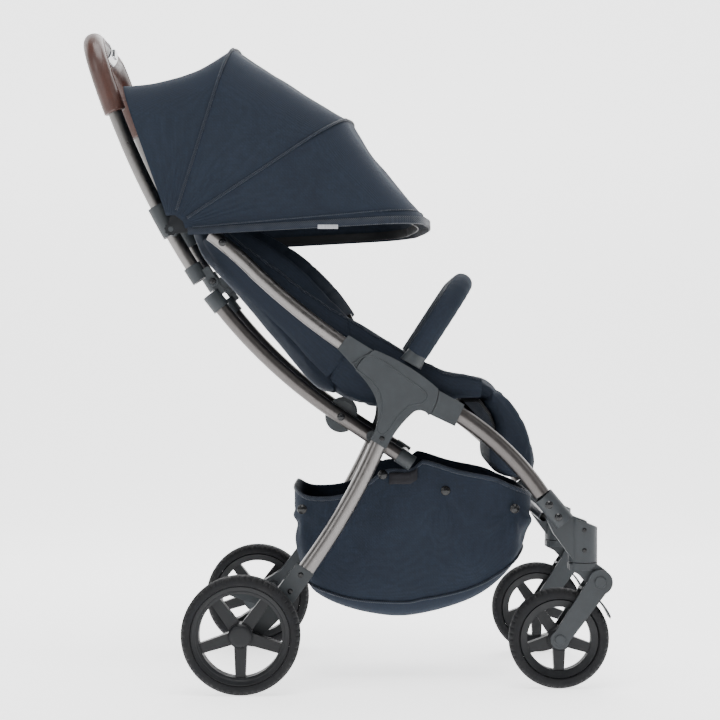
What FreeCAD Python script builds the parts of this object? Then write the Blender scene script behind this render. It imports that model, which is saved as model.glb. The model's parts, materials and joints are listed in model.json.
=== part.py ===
"""Compact folding stroller: a hub-pivoted tube frame with swivelling sprung front wheels, a folding
handle, a bumper bar, a three-bow canopy, a sling seat and a shopping basket.

Row frame: +X to the front, +Y to the stroller's left, +Z up. The origin is on the floor, at the
centre of the overall box. "left" parts lie at +Y and "right" parts at -Y.
"""
import FreeCAD, Part
import math
import os

import Sketcher
from FreeCAD import Vector

doc = FreeCAD.newDocument("stroller")

# ---------------------------------------------------------------- driving dimensions

DIMENSIONS = [
    # planes of the side frame, measured from the middle of the stroller
    ("leg_plane", 180.0), ("handle_plane", 150.0), ("canopy_plane", 198.8),
    ("rear_wheel_plane", 222.0), ("caster_plane", 168.0), ("hub_plane", 180.0),
    # tubes
    ("leg_radius", 13.0), ("rail_radius", 11.0), ("tube_wall", 1.5),
    ("sleeve_play", 0.15), ("grip_radius", 16.5), ("bumper_radius", 16.5), ("bumper_core_radius", 8.0),
    # wheels
    ("rear_wheel_radius", 90.0), ("rear_wheel_width", 36.0), ("rear_rim_radius", 75.0),
    ("front_wheel_radius", 77.0), ("front_wheel_width", 30.0), ("front_rim_radius", 61.0),
    ("rim_depth", 12.0), ("hub_radius", 18.5), ("spoke_width", 15.0), ("axle_radius", 5.0),
    ("axle_play", 0.05), ("spoke_count", 5.0),
    # hub
    ("hub_thickness", 32.0), ("seam_radius", 67.0), ("seam_gap", 0.8), ("pivot_radius", 6.0),
    ("knuckle_plate", 5.0),
    # front caster
    ("barrel_radius", 22.5), ("fork_plate", 5.0), ("fork_gap", 34.0),
    # soft goods
    ("seat_half_width", 138.0), ("basket_half_width", 135.0), ("basket_wall", 3.0),
    ("canopy_wall", 2.4), ("bow_width", 14.0), ("bow_thickness", 1.2),
    ("rivet_radius", 6.0), ("rivet_head", 3.0),
]

sheet = doc.addObject("Spreadsheet::Sheet", "dimensions")
for number, (alias, value) in enumerate(DIMENSIONS, start=1):
    sheet.set(f"A{number}", alias)
    sheet.set(f"B{number}", str(value))
    sheet.setAlias(f"B{number}", alias)
doc.recompute()


def size(alias):
    """Reads one driving dimension from the sheet."""
    return float(sheet.get(alias))


SIDES = (("left", 1), ("right", -1))

# Places in the side view, as (X, Z)
MAIN_PIVOT = (78.0, 462.0)
REAR_AXLE = (-155.6, size("rear_wheel_radius"))
FRONT_AXLE = (330.4, size("front_wheel_radius"))
CASTER_AXIS_X = 367.4
FORK_PIVOT = (392.0, 165.0)
TUBE_CROSSING = (43.0, 387.0)
HANDLE_HINGE = (-203.0, 627.0)
HANDLE_ARC = ((-222.0, 628.0), (-324.0, 813.0), (-377.0, 950.0))
LOWER_ARC = ((-207.0, 607.4), (-111.0, 500.0), (-5.0, 417.0))
LOWER_TUBE_END = (96.0, 350.5)
CANOPY_PIVOT = (-264.0, 704.6)

parts = {}


# ---------------------------------------------------------------- helpers

def origin_plane(body, role):
    return next(item for item in body.Origin.OriginFeatures if item.Role == role)


def new_body(label, base=(0.0, 0.0, 0.0)):
    body = doc.addObject("PartDesign::Body", label)
    body.Label = label
    body.AllowCompound = True
    body.Placement.Base = Vector(*base)
    parts[label] = body
    return body


def set_plane(body, alias, side):
    """Puts a body, drawn in the XZ plane, on one of the side frame's planes."""
    body.setExpression("Placement.Base.y", f"{side} * dimensions.{alias}")


def new_sketch(body, role="XZ_Plane", offset=0.0):
    sketch = body.newObject("Sketcher::SketchObject", "sketch")
    sketch.AttachmentSupport = [(origin_plane(body, role), "")]
    sketch.MapMode = "FlatFace"
    sketch.AttachmentOffset.Base = Vector(0.0, 0.0, offset)
    return sketch


def add_outline(sketch, points):
    """A closed outline of straight runs. A point given as (mid, end) makes an arc through mid."""
    start = Vector(points[0][0], points[0][1], 0.0)
    first = start
    for item in points[1:]:
        if isinstance(item[0], tuple):
            middle = Vector(item[0][0], item[0][1], 0.0)
            end = Vector(item[1][0], item[1][1], 0.0)
            sketch.addGeometry(Part.Arc(start, middle, end))
        else:
            end = Vector(item[0], item[1], 0.0)
            sketch.addGeometry(Part.LineSegment(start, end))
        start = end
    if (start - first).Length > 1e-6:
        sketch.addGeometry(Part.LineSegment(start, first))


def add_circle(sketch, centre, radius_rule):
    """A circle whose radius is bound to the sheet."""
    index = sketch.addGeometry(Part.Circle(Vector(centre[0], centre[1], 0.0), Vector(0, 0, 1), 5.0))
    key = sketch.addConstraint(Sketcher.Constraint("Radius", index, 5.0))
    sketch.setExpression(f"Constraints[{key}]", radius_rule)


def pad(body, sketch, length_rule, symmetric=True, reversed_way=False):
    feature = body.newObject("PartDesign::Pad", "pad")
    feature.Profile = sketch
    feature.SideType = "Symmetric" if symmetric else "One side"
    feature.Reversed = reversed_way
    feature.setExpression("Length", length_rule)
    return feature


def pocket(body, sketch, length_rule):
    feature = body.newObject("PartDesign::Pocket", "pocket")
    feature.Profile = sketch
    feature.SideType = "Symmetric"
    feature.setExpression("Length", length_rule)
    return feature


def add_pipe(body, path_points, outer_rule, inner_rule):
    """A hollow round tube along a flat path in the XZ plane, given as add_outline's points."""
    path = new_sketch(body)
    start = Vector(path_points[0][0], path_points[0][1], 0.0)
    for item in path_points[1:]:
        if isinstance(item[0], tuple):
            middle = Vector(item[0][0], item[0][1], 0.0)
            end = Vector(item[1][0], item[1][1], 0.0)
            path.addGeometry(Part.Arc(start, middle, end))
        else:
            end = Vector(item[0], item[1], 0.0)
            path.addGeometry(Part.LineSegment(start, end))
        start = end
    doc.recompute()
    profile = body.newObject("Sketcher::SketchObject", "profile")
    profile.AttachmentSupport = [(path, "Edge1")]
    profile.MapMode = "NormalToEdge"
    profile.MapPathParameter = 0.0
    add_circle(profile, (0.0, 0.0), outer_rule)
    add_circle(profile, (0.0, 0.0), inner_rule)
    pipe = body.newObject("PartDesign::AdditivePipe", "pipe")
    pipe.Profile = profile
    pipe.Spine = (path, [f"Edge{index + 1}" for index in range(len(path_points) - 1)])
    pipe.Mode = "Frenet"
    return pipe


def add_disc(body, centre, radius_rule, length_rule, bore_rule=None):
    """A disc or ring whose axis lies along Y, centred on the body's own plane."""
    sketch = new_sketch(body)
    add_circle(sketch, centre, radius_rule)
    if bore_rule:
        add_circle(sketch, centre, bore_rule)
    return pad(body, sketch, length_rule)


def revolve(body, outlines):
    """Turns closed (radius, axial) outlines about the body's Y axis."""
    sketch = new_sketch(body, "XY_Plane")
    for outline in outlines:
        add_outline(sketch, outline)
    feature = body.newObject("PartDesign::Revolution", "turned")
    feature.Profile = sketch
    feature.ReferenceAxis = (sketch, ["V_Axis"])
    feature.Angle = 360.0
    return feature


def shape_part(label, shape):
    """A sub-part whose shape neither a body nor a primitive suits."""
    feature = doc.addObject("Part::Feature", label)
    feature.Label = label
    feature.Shape = shape
    parts[label] = feature
    return feature


def pair(label, left, right):
    """Two like pieces of one rigid body as one sub-part of two solids."""
    group = doc.addObject("Part::Compound", label)
    group.Label = label
    group.Links = [parts.pop(left), parts.pop(right)]
    parts[label] = group


def swept_tube(path, outer, inner):
    """A round tube swept along a wire of lines and arcs that may leave one plane."""
    edge = path.Edges[0]
    start = edge.valueAt(edge.FirstParameter)
    direction = edge.tangentAt(edge.FirstParameter)

    def swept(radius):
        circle = Part.Wire([Part.makeCircle(radius, start, direction)])
        return path.makePipeShell([circle], True, False)

    return swept(outer).cut(swept(inner)) if inner > 0 else swept(outer)


def polar(centre, radius, degrees):
    angle = math.radians(degrees)
    return (centre[0] + radius * math.cos(angle), centre[1] + radius * math.sin(angle))


def rivet_group(label, places):
    """Domed rivet heads as one group: each place is (x, z, y of the face, outward sign)."""
    radius = size("rivet_radius")
    height = size("rivet_head")
    ball = (radius ** 2 + height ** 2) / (2 * height)
    heads = []
    for x, z, face, sign in places:
        outward = Vector(0, sign, 0)
        foot = Vector(x, face + sign * 0.1, z)
        column = Part.makeCylinder(radius, height, foot, outward)
        dome = Part.makeSphere(ball, foot + outward * (height - ball))
        heads.append(column.common(dome))
    shape_part(label, Part.Compound(heads))


# ---------------------------------------------------------------- side frame

def hub_cover(name, side):
    """Three-armed moulding round the main pivot. The rear leg's sleeve is part of it."""
    body = new_body(f"hub_cover_{name}")
    set_plane(body, "hub_plane", side)
    gap = size("seam_gap")
    inner_seam = size("seam_radius") - gap
    rail_high = polar(MAIN_PIVOT, inner_seam, 118.0)
    rail_mid = polar(MAIN_PIVOT, inner_seam, 137.0)
    rail_low = polar(MAIN_PIVOT, inner_seam, 156.0)
    front_low = polar(MAIN_PIVOT, inner_seam, -39.0)
    front_mid = polar(MAIN_PIVOT, inner_seam, -21.0)
    front_high = polar(MAIN_PIVOT, inner_seam, -1.0)
    sketch = new_sketch(body)
    add_outline(sketch, [
        rail_high, (rail_mid, rail_low), ((29.0, 477.0), (40.0, 462.0)), ((52.0, 420.0), (40.0, 384.0)),
        (64.0, 369.0), ((84.0, 402.0), (107.0, 426.0)), (((116.0, 428.0)), front_low),
        (front_mid, front_high), ((108.0, 489.0), rail_high)])
    pad(body, sketch, "dimensions.hub_thickness")
    # socket for the rear leg, and the hollow in which the rail and front leg knuckles meet the pin
    doc.recompute()
    socket = new_sketch(body)
    add_outline(socket, [(30.0, 360.0), (70.0, 345.0), (92.0, 392.0), (66.0, 404.0), (48.0, 402.0)])
    pocket(body, socket, "2 * dimensions.leg_radius + 2 * dimensions.sleeve_play")
    doc.recompute()
    slot = new_sketch(body)
    add_circle(slot, MAIN_PIVOT, "dimensions.seam_radius")
    pocket(body, slot, "2 * dimensions.knuckle_plate + 1.2")
    doc.recompute()
    add_disc(body, MAIN_PIVOT, "dimensions.pivot_radius", "dimensions.hub_thickness")


def add_knuckle_plate(body, side, outward, direction):
    """Flat plate from a sleeve to the main pivot, in its own half of the hub's slot."""
    doc.recompute()
    along = polar((0.0, 0.0), 1.0, direction)
    across = (-along[1], along[0])
    reach = size("seam_radius") + 3.0
    half = 13.0
    corners = []
    for distance, shift in ((0.0, -half), (reach, -half), (reach, half), (0.0, half)):
        corners.append((MAIN_PIVOT[0] + distance * along[0] + shift * across[0],
                        MAIN_PIVOT[1] + distance * along[1] + shift * across[1]))
    # the sketch plane's normal points to -Y
    gap = 0.3
    offset = -gap if outward * side > 0 else gap
    for outline in ("arm", "eye"):
        sketch = new_sketch(body, offset=offset)
        if outline == "arm":
            add_outline(sketch, corners)
        else:
            add_circle(sketch, MAIN_PIVOT, "dimensions.pivot_radius + 9")
        pad(body, sketch, "dimensions.knuckle_plate", False, outward * side > 0)
        doc.recompute()
    bore = new_sketch(body)
    add_circle(bore, MAIN_PIVOT, "dimensions.pivot_radius + dimensions.axle_play")
    pocket(body, bore, "4 * dimensions.knuckle_plate")


def rear_leg(name, side):
    body = new_body(f"rear_leg_{name}")
    set_plane(body, "leg_plane", side)
    add_pipe(body, [(56.0, 384.0), ((-6.0, 262.0), (-58.0, 184.0)), (-79.0, 157.0)],
             "dimensions.leg_radius", "dimensions.leg_radius - dimensions.tube_wall")


def front_leg(name, side):
    body = new_body(f"front_leg_{name}")
    set_plane(body, "leg_plane", side)
    add_pipe(body, [(155.0, 434.5), ((233.0, 379.0), (303.0, 299.0))],
             "dimensions.leg_radius", "dimensions.leg_radius - dimensions.tube_wall")


def front_leg_sleeve(name, side):
    """Collar between hub and front leg; its inner end is a seam arc round the main pivot."""
    body = new_body(f"front_leg_sleeve_{name}")
    set_plane(body, "hub_plane", side)
    outer = size("seam_radius")
    sketch = new_sketch(body)
    add_outline(sketch, [
        polar(MAIN_PIVOT, outer, -37.0), (polar(MAIN_PIVOT, outer, -20.0), polar(MAIN_PIVOT, outer, -3.0)),
        (184.0, 437.0), (169.0, 404.0)])
    pad(body, sketch, "dimensions.hub_thickness - 1")
    doc.recompute()
    bore = new_sketch(body)
    add_outline(bore, [(142.0, 422.0), (178.0, 393.0), (199.0, 424.0), (161.0, 453.0)])
    pocket(body, bore, "2 * dimensions.leg_radius + 2 * dimensions.sleeve_play")
    add_knuckle_plate(body, side, -1, -20.5)


def seat_rail(name, side):
    body = new_body(f"seat_rail_{name}")
    set_plane(body, "leg_plane", side)
    add_pipe(body, [(14.5, 518.5), ((-66.0, 578.0), (-134.0, 637.0)), ((-171.0, 672.0), (-205.0, 699.0))],
             "dimensions.rail_radius", "dimensions.rail_radius - dimensions.tube_wall")


def rail_sleeve(name, side):
    body = new_body(f"rail_sleeve_{name}")
    set_plane(body, "hub_plane", side)
    outer = size("seam_radius")
    sketch = new_sketch(body)
    add_outline(sketch, [
        polar(MAIN_PIVOT, outer, 120.0), (polar(MAIN_PIVOT, outer, 137.0), polar(MAIN_PIVOT, outer, 154.0)),
        (-10.0, 522.0), (7.0, 543.0)])
    pad(body, sketch, "dimensions.hub_thickness - 4")
    doc.recompute()
    bore = new_sketch(body)
    add_outline(bore, [(-20.0, 527.0), (11.0, 505.0), (26.0, 524.0), (-5.0, 548.0)])
    pocket(body, bore, "2 * dimensions.rail_radius + 2 * dimensions.sleeve_play")
    add_knuckle_plate(body, side, 1, 137.0)


def rear_bracket(name, side):
    """Moulded foot of the rear leg, which carries the stub axle."""
    body = new_body(f"rear_bracket_{name}")
    set_plane(body, "leg_plane", side)
    sketch = new_sketch(body)
    add_outline(sketch, [
        (-46.0, 178.0), (-72.0, 195.0), (-113.0, 141.0), (-160.0, 111.0),
        ((-177.0, 91.0), (-157.0, 69.0)), (-137.0, 73.0), (-104.0, 104.0), (-76.0, 136.0)])
    pad(body, sketch, "2 * dimensions.leg_radius + 3.6")
    doc.recompute()
    bore = new_sketch(body)
    add_outline(bore, [(-70.0, 203.0), (-93.0, 170.0), (-90.0, 148.0), (-69.0, 138.0), (-38.0, 176.0)])
    pocket(body, bore, "2 * dimensions.leg_radius + 2 * dimensions.sleeve_play")
    doc.recompute()
    hole = new_sketch(body)
    add_circle(hole, REAR_AXLE, "dimensions.axle_radius")
    pocket(body, hole, "4 * dimensions.leg_radius")


def build_side_frame():
    for name, side in SIDES:
        hub_cover(name, side)
        rear_leg(name, side)
        rear_bracket(name, side)
        front_leg(name, side)
        front_leg_sleeve(name, side)
        seat_rail(name, side)
        rail_sleeve(name, side)
    for kind in ("rear_bracket", "front_leg_sleeve", "rail_sleeve"):
        pair(f"{kind}s", f"{kind}_left", f"{kind}_right")


# ---------------------------------------------------------------- cross members

def cross_tube(label, place, radius, half_length, wall=1.5):
    """A straight tube from side to side."""
    start = Vector(place[0], -half_length, place[1])
    along = Vector(0, 1, 0)
    outer = Part.makeCylinder(radius, 2 * half_length, start, along)
    inner = Part.makeCylinder(radius - wall, 2 * half_length, start, along)
    shape_part(label, outer.cut(inner))


def build_cross_members():
    inner_face = size("leg_plane") - size("leg_radius") - 1.8
    cross_tube("rear_cross_tube", (-126.0, 112.0), 10.0, inner_face)
    cross_tube("lower_cross_tube", (100.0, 348.0), 8.0, size("handle_plane") - 11.2)
    cross_tube("footrest_bar", (309.0, 262.0), 8.0, 157.9)
    # stub axles, pressed into the brackets
    radius = size("axle_radius")
    length = size("rear_wheel_plane") + 0.5 * size("rear_wheel_width") - size("leg_plane")
    pins = []
    for _, side in SIDES:
        start = Vector(REAR_AXLE[0], side * (size("leg_plane") - 8.0), REAR_AXLE[1])
        pins.append(Part.makeCylinder(radius, length, start, Vector(0, side, 0)))
    shape_part("rear_axle_pins", Part.Compound(pins))


# ---------------------------------------------------------------- wheels

def rim_outlines(rim_radius, width):
    depth = size("rim_depth")
    half = 0.5 * width
    hub = size("hub_radius")
    bore = size("axle_radius") + size("axle_play")
    ring = [(rim_radius - depth, -half + 6), (rim_radius - 1.5, -half + 3), (rim_radius, -half + 4.5),
            (rim_radius, half - 4.5), (rim_radius - 1.5, half - 3), (rim_radius - depth, half - 6)]
    boss = [(bore, -half + 1), (hub - 3, -half + 1), (hub, -half + 4), (hub, half - 4),
            (hub - 3, half - 1), (bore, half - 1)]
    return [ring, boss]


def wheel_rim(label, centre, rim_radius, width, spoke_rule):
    """A five-spoked moulded rim with its bearing bore."""
    body = new_body(label, centre)
    revolve(body, rim_outlines(rim_radius, width))
    doc.recompute()
    half = 0.5 * size("spoke_width")
    reach = rim_radius - size("rim_depth") + 2.0
    root = size("hub_radius") - 3.0
    sketch = new_sketch(body)
    add_outline(sketch, [(-half - 2.0, -root), (-half, -reach), (half, -reach), (half + 2.0, -root)])
    spoke = pad(body, sketch, spoke_rule)
    doc.recompute()
    pattern = body.newObject("PartDesign::PolarPattern", "spokes")
    pattern.Originals = [spoke]
    pattern.Axis = (origin_plane(body, "Y_Axis"), [""])
    pattern.Angle = 360.0
    pattern.setExpression("Occurrences", "dimensions.spoke_count")
    body.Tip = pattern
    return body


def wheel_tyre(label, centre, wheel_radius, rim_radius, width):
    body = new_body(label, centre)
    half = 0.5 * width
    inner = rim_radius + 0.1
    shoulder = wheel_radius - 5.5
    revolve(body, [[
        (inner, -half + 3.0), (inner + 3.0, -half), (shoulder - 2.0, -half),
        ((wheel_radius - 2.2, -half + 3.4), (wheel_radius, -half + 9.0)), (wheel_radius, half - 9.0),
        ((wheel_radius - 2.2, half - 3.4), (shoulder - 2.0, half)), (inner + 3.0, half),
        (inner, half - 3.0)]])


def build_wheels():
    for name, side in SIDES:
        rear = (REAR_AXLE[0], side * size("rear_wheel_plane"), REAR_AXLE[1])
        wheel_rim(f"rear_rim_{name}", rear, size("rear_rim_radius"), size("rear_wheel_width"), "18 mm")
        wheel_tyre(f"rear_tyre_{name}", rear, size("rear_wheel_radius"), size("rear_rim_radius"),
                   size("rear_wheel_width"))
        front = (FRONT_AXLE[0], side * size("caster_plane"), FRONT_AXLE[1])
        wheel_rim(f"front_rim_{name}", front, size("front_rim_radius"), size("front_wheel_width"), "14 mm")
        wheel_tyre(f"front_tyre_{name}", front, size("front_wheel_radius"), size("front_rim_radius"),
                   size("front_wheel_width"))


# ---------------------------------------------------------------- front casters

def caster_housing(name, side):
    """Casting at the front leg's foot: a sleeve for the leg and a barrel for the swivel."""
    plane = side * size("caster_plane")
    leg = side * size("leg_plane")
    radius = size("barrel_radius")
    barrel = Part.makeCylinder(radius, 74.0, Vector(CASTER_AXIS_X, plane, 195.0))
    slope = Part.makeBox(80.0, 80.0, 60.0, Vector(-40.0, -40.0, 0.0))
    slope.rotate(Vector(0, 0, 0), Vector(0, 1, 0), 22.0)
    slope.translate(Vector(CASTER_AXIS_X, plane, 257.0))
    barrel = barrel.cut(slope)
    direction = Vector(math.cos(math.radians(-50.0)), 0, math.sin(math.radians(-50.0)))
    mouth = Vector(305.0, leg, 296.5)
    sleeve = Part.makeCylinder(size("leg_radius") + 3.2, 52.0, mouth, direction)
    rib_points = [(317.0, 284.0), (350.0, 266.0), (372.0, 258.0), (372.0, 197.0), (350.0, 200.0),
                  (322.0, 238.0), (310.0, 262.0)]
    wire = Part.makePolygon([Vector(x, 0, z) for x, z in rib_points + rib_points[:1]])
    rib = Part.Face(wire).extrude(Vector(0, 26.0, 0))
    rib.translate(Vector(0, plane - 13.0 + side * 3.0, 0))
    body = barrel.fuse([sleeve, rib])
    spin_bore = Part.makeCylinder(6.1, 60.0, Vector(CASTER_AXIS_X, plane, 190.0))
    leg_bore = Part.makeCylinder(size("leg_radius") + 1.2, 22.0, mouth - direction * 12.0, direction)
    shape_part(f"caster_housing_{name}", body.cut(spin_bore).cut(leg_bore).removeSplitter())


def caster_head(name, side):
    """Swivelling head: a post in the barrel, a crown reaching forward to the fork's pivot."""
    plane = side * size("caster_plane")
    post = Part.makeCylinder(6.0, 40.0, Vector(CASTER_AXIS_X, plane, 182.0))
    disc = Part.makeCylinder(size("barrel_radius"), 11.0, Vector(CASTER_AXIS_X, plane, 183.0))
    outline = [(346.0, 192.0), (388.0, 192.0), (403.0, 181.0), (409.5, 166.0), (404.0, 150.0),
               (390.0, 146.0), (376.0, 158.0), (360.0, 176.0), (346.0, 183.0)]
    wire = Part.makePolygon([Vector(x, 0, z) for x, z in outline + outline[:1]])
    crown = Part.Face(wire).extrude(Vector(0, size("fork_gap") - 4.0, 0))
    crown.translate(Vector(0, plane - 0.5 * size("fork_gap") + 2.0, 0))
    wheel_room = Part.makeCylinder(size("front_wheel_radius") + 5.0, 60.0,
                                   Vector(FRONT_AXLE[0], plane - 30.0, FRONT_AXLE[1]), Vector(0, 1, 0))
    pivot_bore = Part.makeCylinder(5.1, 60.0, Vector(FORK_PIVOT[0], plane - 30.0, FORK_PIVOT[1]),
                                   Vector(0, 1, 0))
    body = post.fuse([disc, crown]).cut(wheel_room).cut(pivot_bore)
    shape_part(f"caster_head_{name}", body.removeSplitter())


def suspension_fork(name, side):
    """Two swing arms with the pivot and axle pins between them and the pins' heads outside."""
    plane = side * size("caster_plane")
    gap = size("fork_gap")
    plate = size("fork_plate")
    top = Vector(FORK_PIVOT[0], 0, FORK_PIVOT[1])
    foot = Vector(FRONT_AXLE[0], 0, FRONT_AXLE[1])
    pieces = []
    for sign in (-1, 1):
        face = plane + sign * 0.5 * gap - (plate if sign < 0 else 0.0)
        lift = Vector(0, face, 0)
        along = Vector(0, 1, 0)
        discs = [Part.makeCylinder(19.0, plate, top + lift, along),
                 Part.makeCylinder(14.5, plate, foot + lift, along)]
        run = foot - top
        normal = Vector(-run.z, 0, run.x).normalize()
        corners = [top + normal * 17.0, foot + normal * 13.0, foot - normal * 13.0, top - normal * 17.0]
        arm = Part.Face(Part.makePolygon(corners + corners[:1])).extrude(Vector(0, plate, 0))
        arm.translate(lift)
        pieces.extend(discs + [arm])
    for place, pin_radius, head_radius in ((top, 5.0, 9.5), (foot, size("axle_radius"), 8.5)):
        start = place + Vector(0, plane - 0.5 * gap - 1.0, 0)
        pieces.append(Part.makeCylinder(pin_radius, gap + 2.0, start, Vector(0, 1, 0)))
        for sign in (-1, 1):
            face = place + Vector(0, plane + sign * (0.5 * gap + plate - 0.2), 0)
            pieces.append(Part.makeCone(head_radius, head_radius - 1.0, 2.4, face, Vector(0, sign, 0)))
    shape_part(f"suspension_fork_{name}", pieces[0].fuse(pieces[1:]).removeSplitter())


def front_mudguard(name, side):
    """Thin guard over the wheel, between the fork's arms."""
    plane = side * size("caster_plane")
    near = size("front_wheel_radius") + 6.5
    far = near + 2.6
    width = size("fork_gap") - 3.0
    start, end = 22.0, 68.0
    centre = FRONT_AXLE
    inner = [polar(centre, near, angle) for angle in (start, 0.5 * (start + end), end)]
    outer = [polar(centre, far, angle) for angle in (end - 2.0, 0.5 * (start + end), start + 2.0)]
    as_vector = [Vector(x, 0, z) for x, z in inner + outer]
    edges = [Part.Arc(as_vector[0], as_vector[1], as_vector[2]).toShape(),
             Part.LineSegment(as_vector[2], as_vector[3]).toShape(),
             Part.Arc(as_vector[3], as_vector[4], as_vector[5]).toShape(),
             Part.LineSegment(as_vector[5], as_vector[0]).toShape()]
    guard = Part.Face(Part.Wire(edges)).extrude(Vector(0, width, 0))
    guard.translate(Vector(0, plane - 0.5 * width, 0))
    room = Part.makeCylinder(5.0, 80.0, Vector(FORK_PIVOT[0], plane - 40.0, FORK_PIVOT[1]), Vector(0, 1, 0))
    shape_part(f"front_mudguard_{name}", guard.cut(room))


def build_casters():
    for name, side in SIDES:
        caster_housing(name, side)
        caster_head(name, side)
        suspension_fork(name, side)
        front_mudguard(name, side)


# ---------------------------------------------------------------- handle

def arc_share(points, start_share, end_share, plane):
    """The stretch of a three-point arc between two shares of its length, on a side plane."""
    whole = Part.Arc(*[Vector(x, plane, z) for x, z in points])
    first = whole.FirstParameter
    span = whole.LastParameter - first
    shares = (start_share, 0.5 * (start_share + end_share), end_share)
    return Part.Arc(*[whole.value(first + share * span) for share in shares])


def lower_tube(name, side):
    body = new_body(f"lower_tube_{name}")
    set_plane(body, "handle_plane", side)
    add_pipe(body, [LOWER_ARC[0], (LOWER_ARC[1], LOWER_ARC[2]), LOWER_TUBE_END],
             "dimensions.rail_radius", "dimensions.rail_radius - dimensions.tube_wall")


def knuckle(collar, arc, plane, ears, bore):
    """Adds hinge ears to a collar, each with the web that joins it, and clears the mating ears' room."""
    pivot = Vector(HANDLE_HINGE[0], plane, HANDLE_HINGE[1])
    along = Vector(0, 1, 0)
    lengthways = arc.tangent(arc.FirstParameter)[0]
    lengthways.normalize()
    across = lengthways.cross(along)
    web_half, web_reach = 6.8, 24.0
    middle = ((-4.0, 8.0),)
    outer = ((-9.4, 5.2), (4.2, 5.2))
    own, other = (middle, outer) if ears == "middle" else (outer, middle)
    tube_room = Part.makeCylinder(bore, 40.0, arc.StartPoint, lengthways)
    for start, length in own:
        foot = pivot + along * start
        corners = [foot + across * web_half, foot + across * web_half + lengthways * web_reach,
                   foot - across * web_half + lengthways * web_reach, foot - across * web_half]
        web = Part.Face(Part.makePolygon(corners + corners[:1])).extrude(along * length)
        collar = collar.fuse([Part.makeCylinder(8.0, length, foot, along), web.cut(tube_room)])
    for start, length in other:
        room = Part.makeCylinder(8.6, length + 0.4, pivot + along * (start - 0.2), along)
        collar = collar.cut(room)
    return collar


def hinge_collars(name, side):
    """The two halves of the handle's folding hinge, each a sleeve on its tube with its ears."""
    plane = side * size("handle_plane")
    bore = size("rail_radius") + size("sleeve_play")
    along = Vector(0, 1, 0)
    pivot = Vector(HANDLE_HINGE[0], plane, HANDLE_HINGE[1])
    lower_arc = arc_share(LOWER_ARC, 0.0, 0.10, plane)
    lower = knuckle(swept_tube(Part.Wire([lower_arc.toShape()]), 14.0, bore), lower_arc, plane, "middle", bore)
    pin = Part.makeCylinder(3.0, 21.0, pivot - along * 10.5, along)
    shape_part(f"lower_hinge_collar_{name}", lower.fuse(pin).removeSplitter())
    upper_arc = arc_share(HANDLE_ARC, 0.002, 0.075, plane)
    upper = knuckle(swept_tube(Part.Wire([upper_arc.toShape()]), 14.0, bore), upper_arc, plane, "outer", bore)
    pin_bore = Part.makeCylinder(3.05, 30.0, pivot - along * 15.0, along)
    shape_part(f"upper_hinge_collar_{name}", upper.cut(pin_bore).removeSplitter())


def canopy_bracket(name, side):
    """Sleeve on the handle tube with the stud on which the canopy's bows turn."""
    plane = side * size("handle_plane")
    wire = Part.Wire([arc_share(HANDLE_ARC, 0.235, 0.375, plane).toShape()])
    sleeve = swept_tube(wire, 15.5, size("rail_radius") + size("sleeve_play"))
    outward = Vector(0, side, 0)
    face = Vector(CANOPY_PIVOT[0], plane + side * 11.4, CANOPY_PIVOT[1])
    reach = size("canopy_plane") - size("handle_plane") - 11.4
    stud = Part.makeCylinder(9.0, reach - 6.2, face, outward)
    pin = Part.makeCylinder(4.0, reach - 0.6, face, outward)
    shape_part(f"canopy_bracket_{name}", sleeve.fuse([stud, pin]).removeSplitter())


def tube_end_fittings():
    """End eyes of the lower tubes, saddle washers on the folding axis, and inner strap discs."""
    pieces = []
    for _, side in SIDES:
        plane = side * size("handle_plane")
        direction = Vector(0.834, 0, -0.551)
        eye = Part.makeCylinder(12.4, 26.0, Vector(84.0, plane, 358.4), direction)
        bore = Part.makeCylinder(size("rail_radius") + size("sleeve_play"), 17.6,
                                 Vector(82.0, plane, 359.7), direction)
        cross_room = Part.makeCylinder(8.1, 40.0, Vector(100.0, plane - side * 9.0, 348.0),
                                       Vector(0, -side, 0))
        pieces.append(eye.cut(bore).cut(cross_room))
        washer = Part.makeCylinder(9.0, 7.7, Vector(TUBE_CROSSING[0], plane + side * 6.0, TUBE_CROSSING[1]),
                                   Vector(0, side, 0))
        tube_start = Vector(LOWER_ARC[2][0], plane, LOWER_ARC[2][1])
        tube_run = Vector(LOWER_TUBE_END[0], plane, LOWER_TUBE_END[1]) - tube_start
        tube_room = Part.makeCylinder(size("rail_radius") + 0.05, tube_run.Length, tube_start, tube_run)
        pieces.append(washer.cut(tube_room))
        inner_face = plane - side * (size("rail_radius") + 0.3)
        pieces.append(Part.makeCylinder(25.0, 7.0, Vector(-5.0, inner_face, 417.0), Vector(0, -side, 0)))
    shape_part("lower_tube_fittings", Part.Compound(pieces))


def handle_path(start_share, bar_half=None):
    """The handle's line as wires: both sides from a share of the side arc up and over.

    Without bar_half it is one wire over the whole bar; with it, two wires that stop short of
    the middle by that length.
    """
    plane = size("handle_plane")
    bend = 58.0
    side_arc = arc_share(HANDLE_ARC, start_share, 1.0, plane)
    top = side_arc.EndPoint
    rise = side_arc.tangent(side_arc.LastParameter)[0]
    rise.normalize()
    inward = Vector(0, -1, 0)
    corner = top + (rise + inward) * bend
    corner_mid = top + inward * bend + (rise - inward) * (bend / math.sqrt(2))
    edges = [side_arc.toShape(), Part.Arc(top, corner_mid, corner).toShape()]
    if bar_half is not None:
        edges.append(Part.LineSegment(corner, Vector(corner.x, bar_half, corner.z)).toShape())
        left = Part.Wire(edges)
        return [left, left.mirror(Vector(0, 0, 0), Vector(0, 1, 0))]
    bar = Part.LineSegment(corner, Vector(corner.x, -corner.y, corner.z)).toShape()
    far = [edge.mirror(Vector(0, 0, 0), Vector(0, 1, 0)) for edge in reversed(edges)]
    return [Part.Wire(edges + [bar] + far)]


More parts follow.
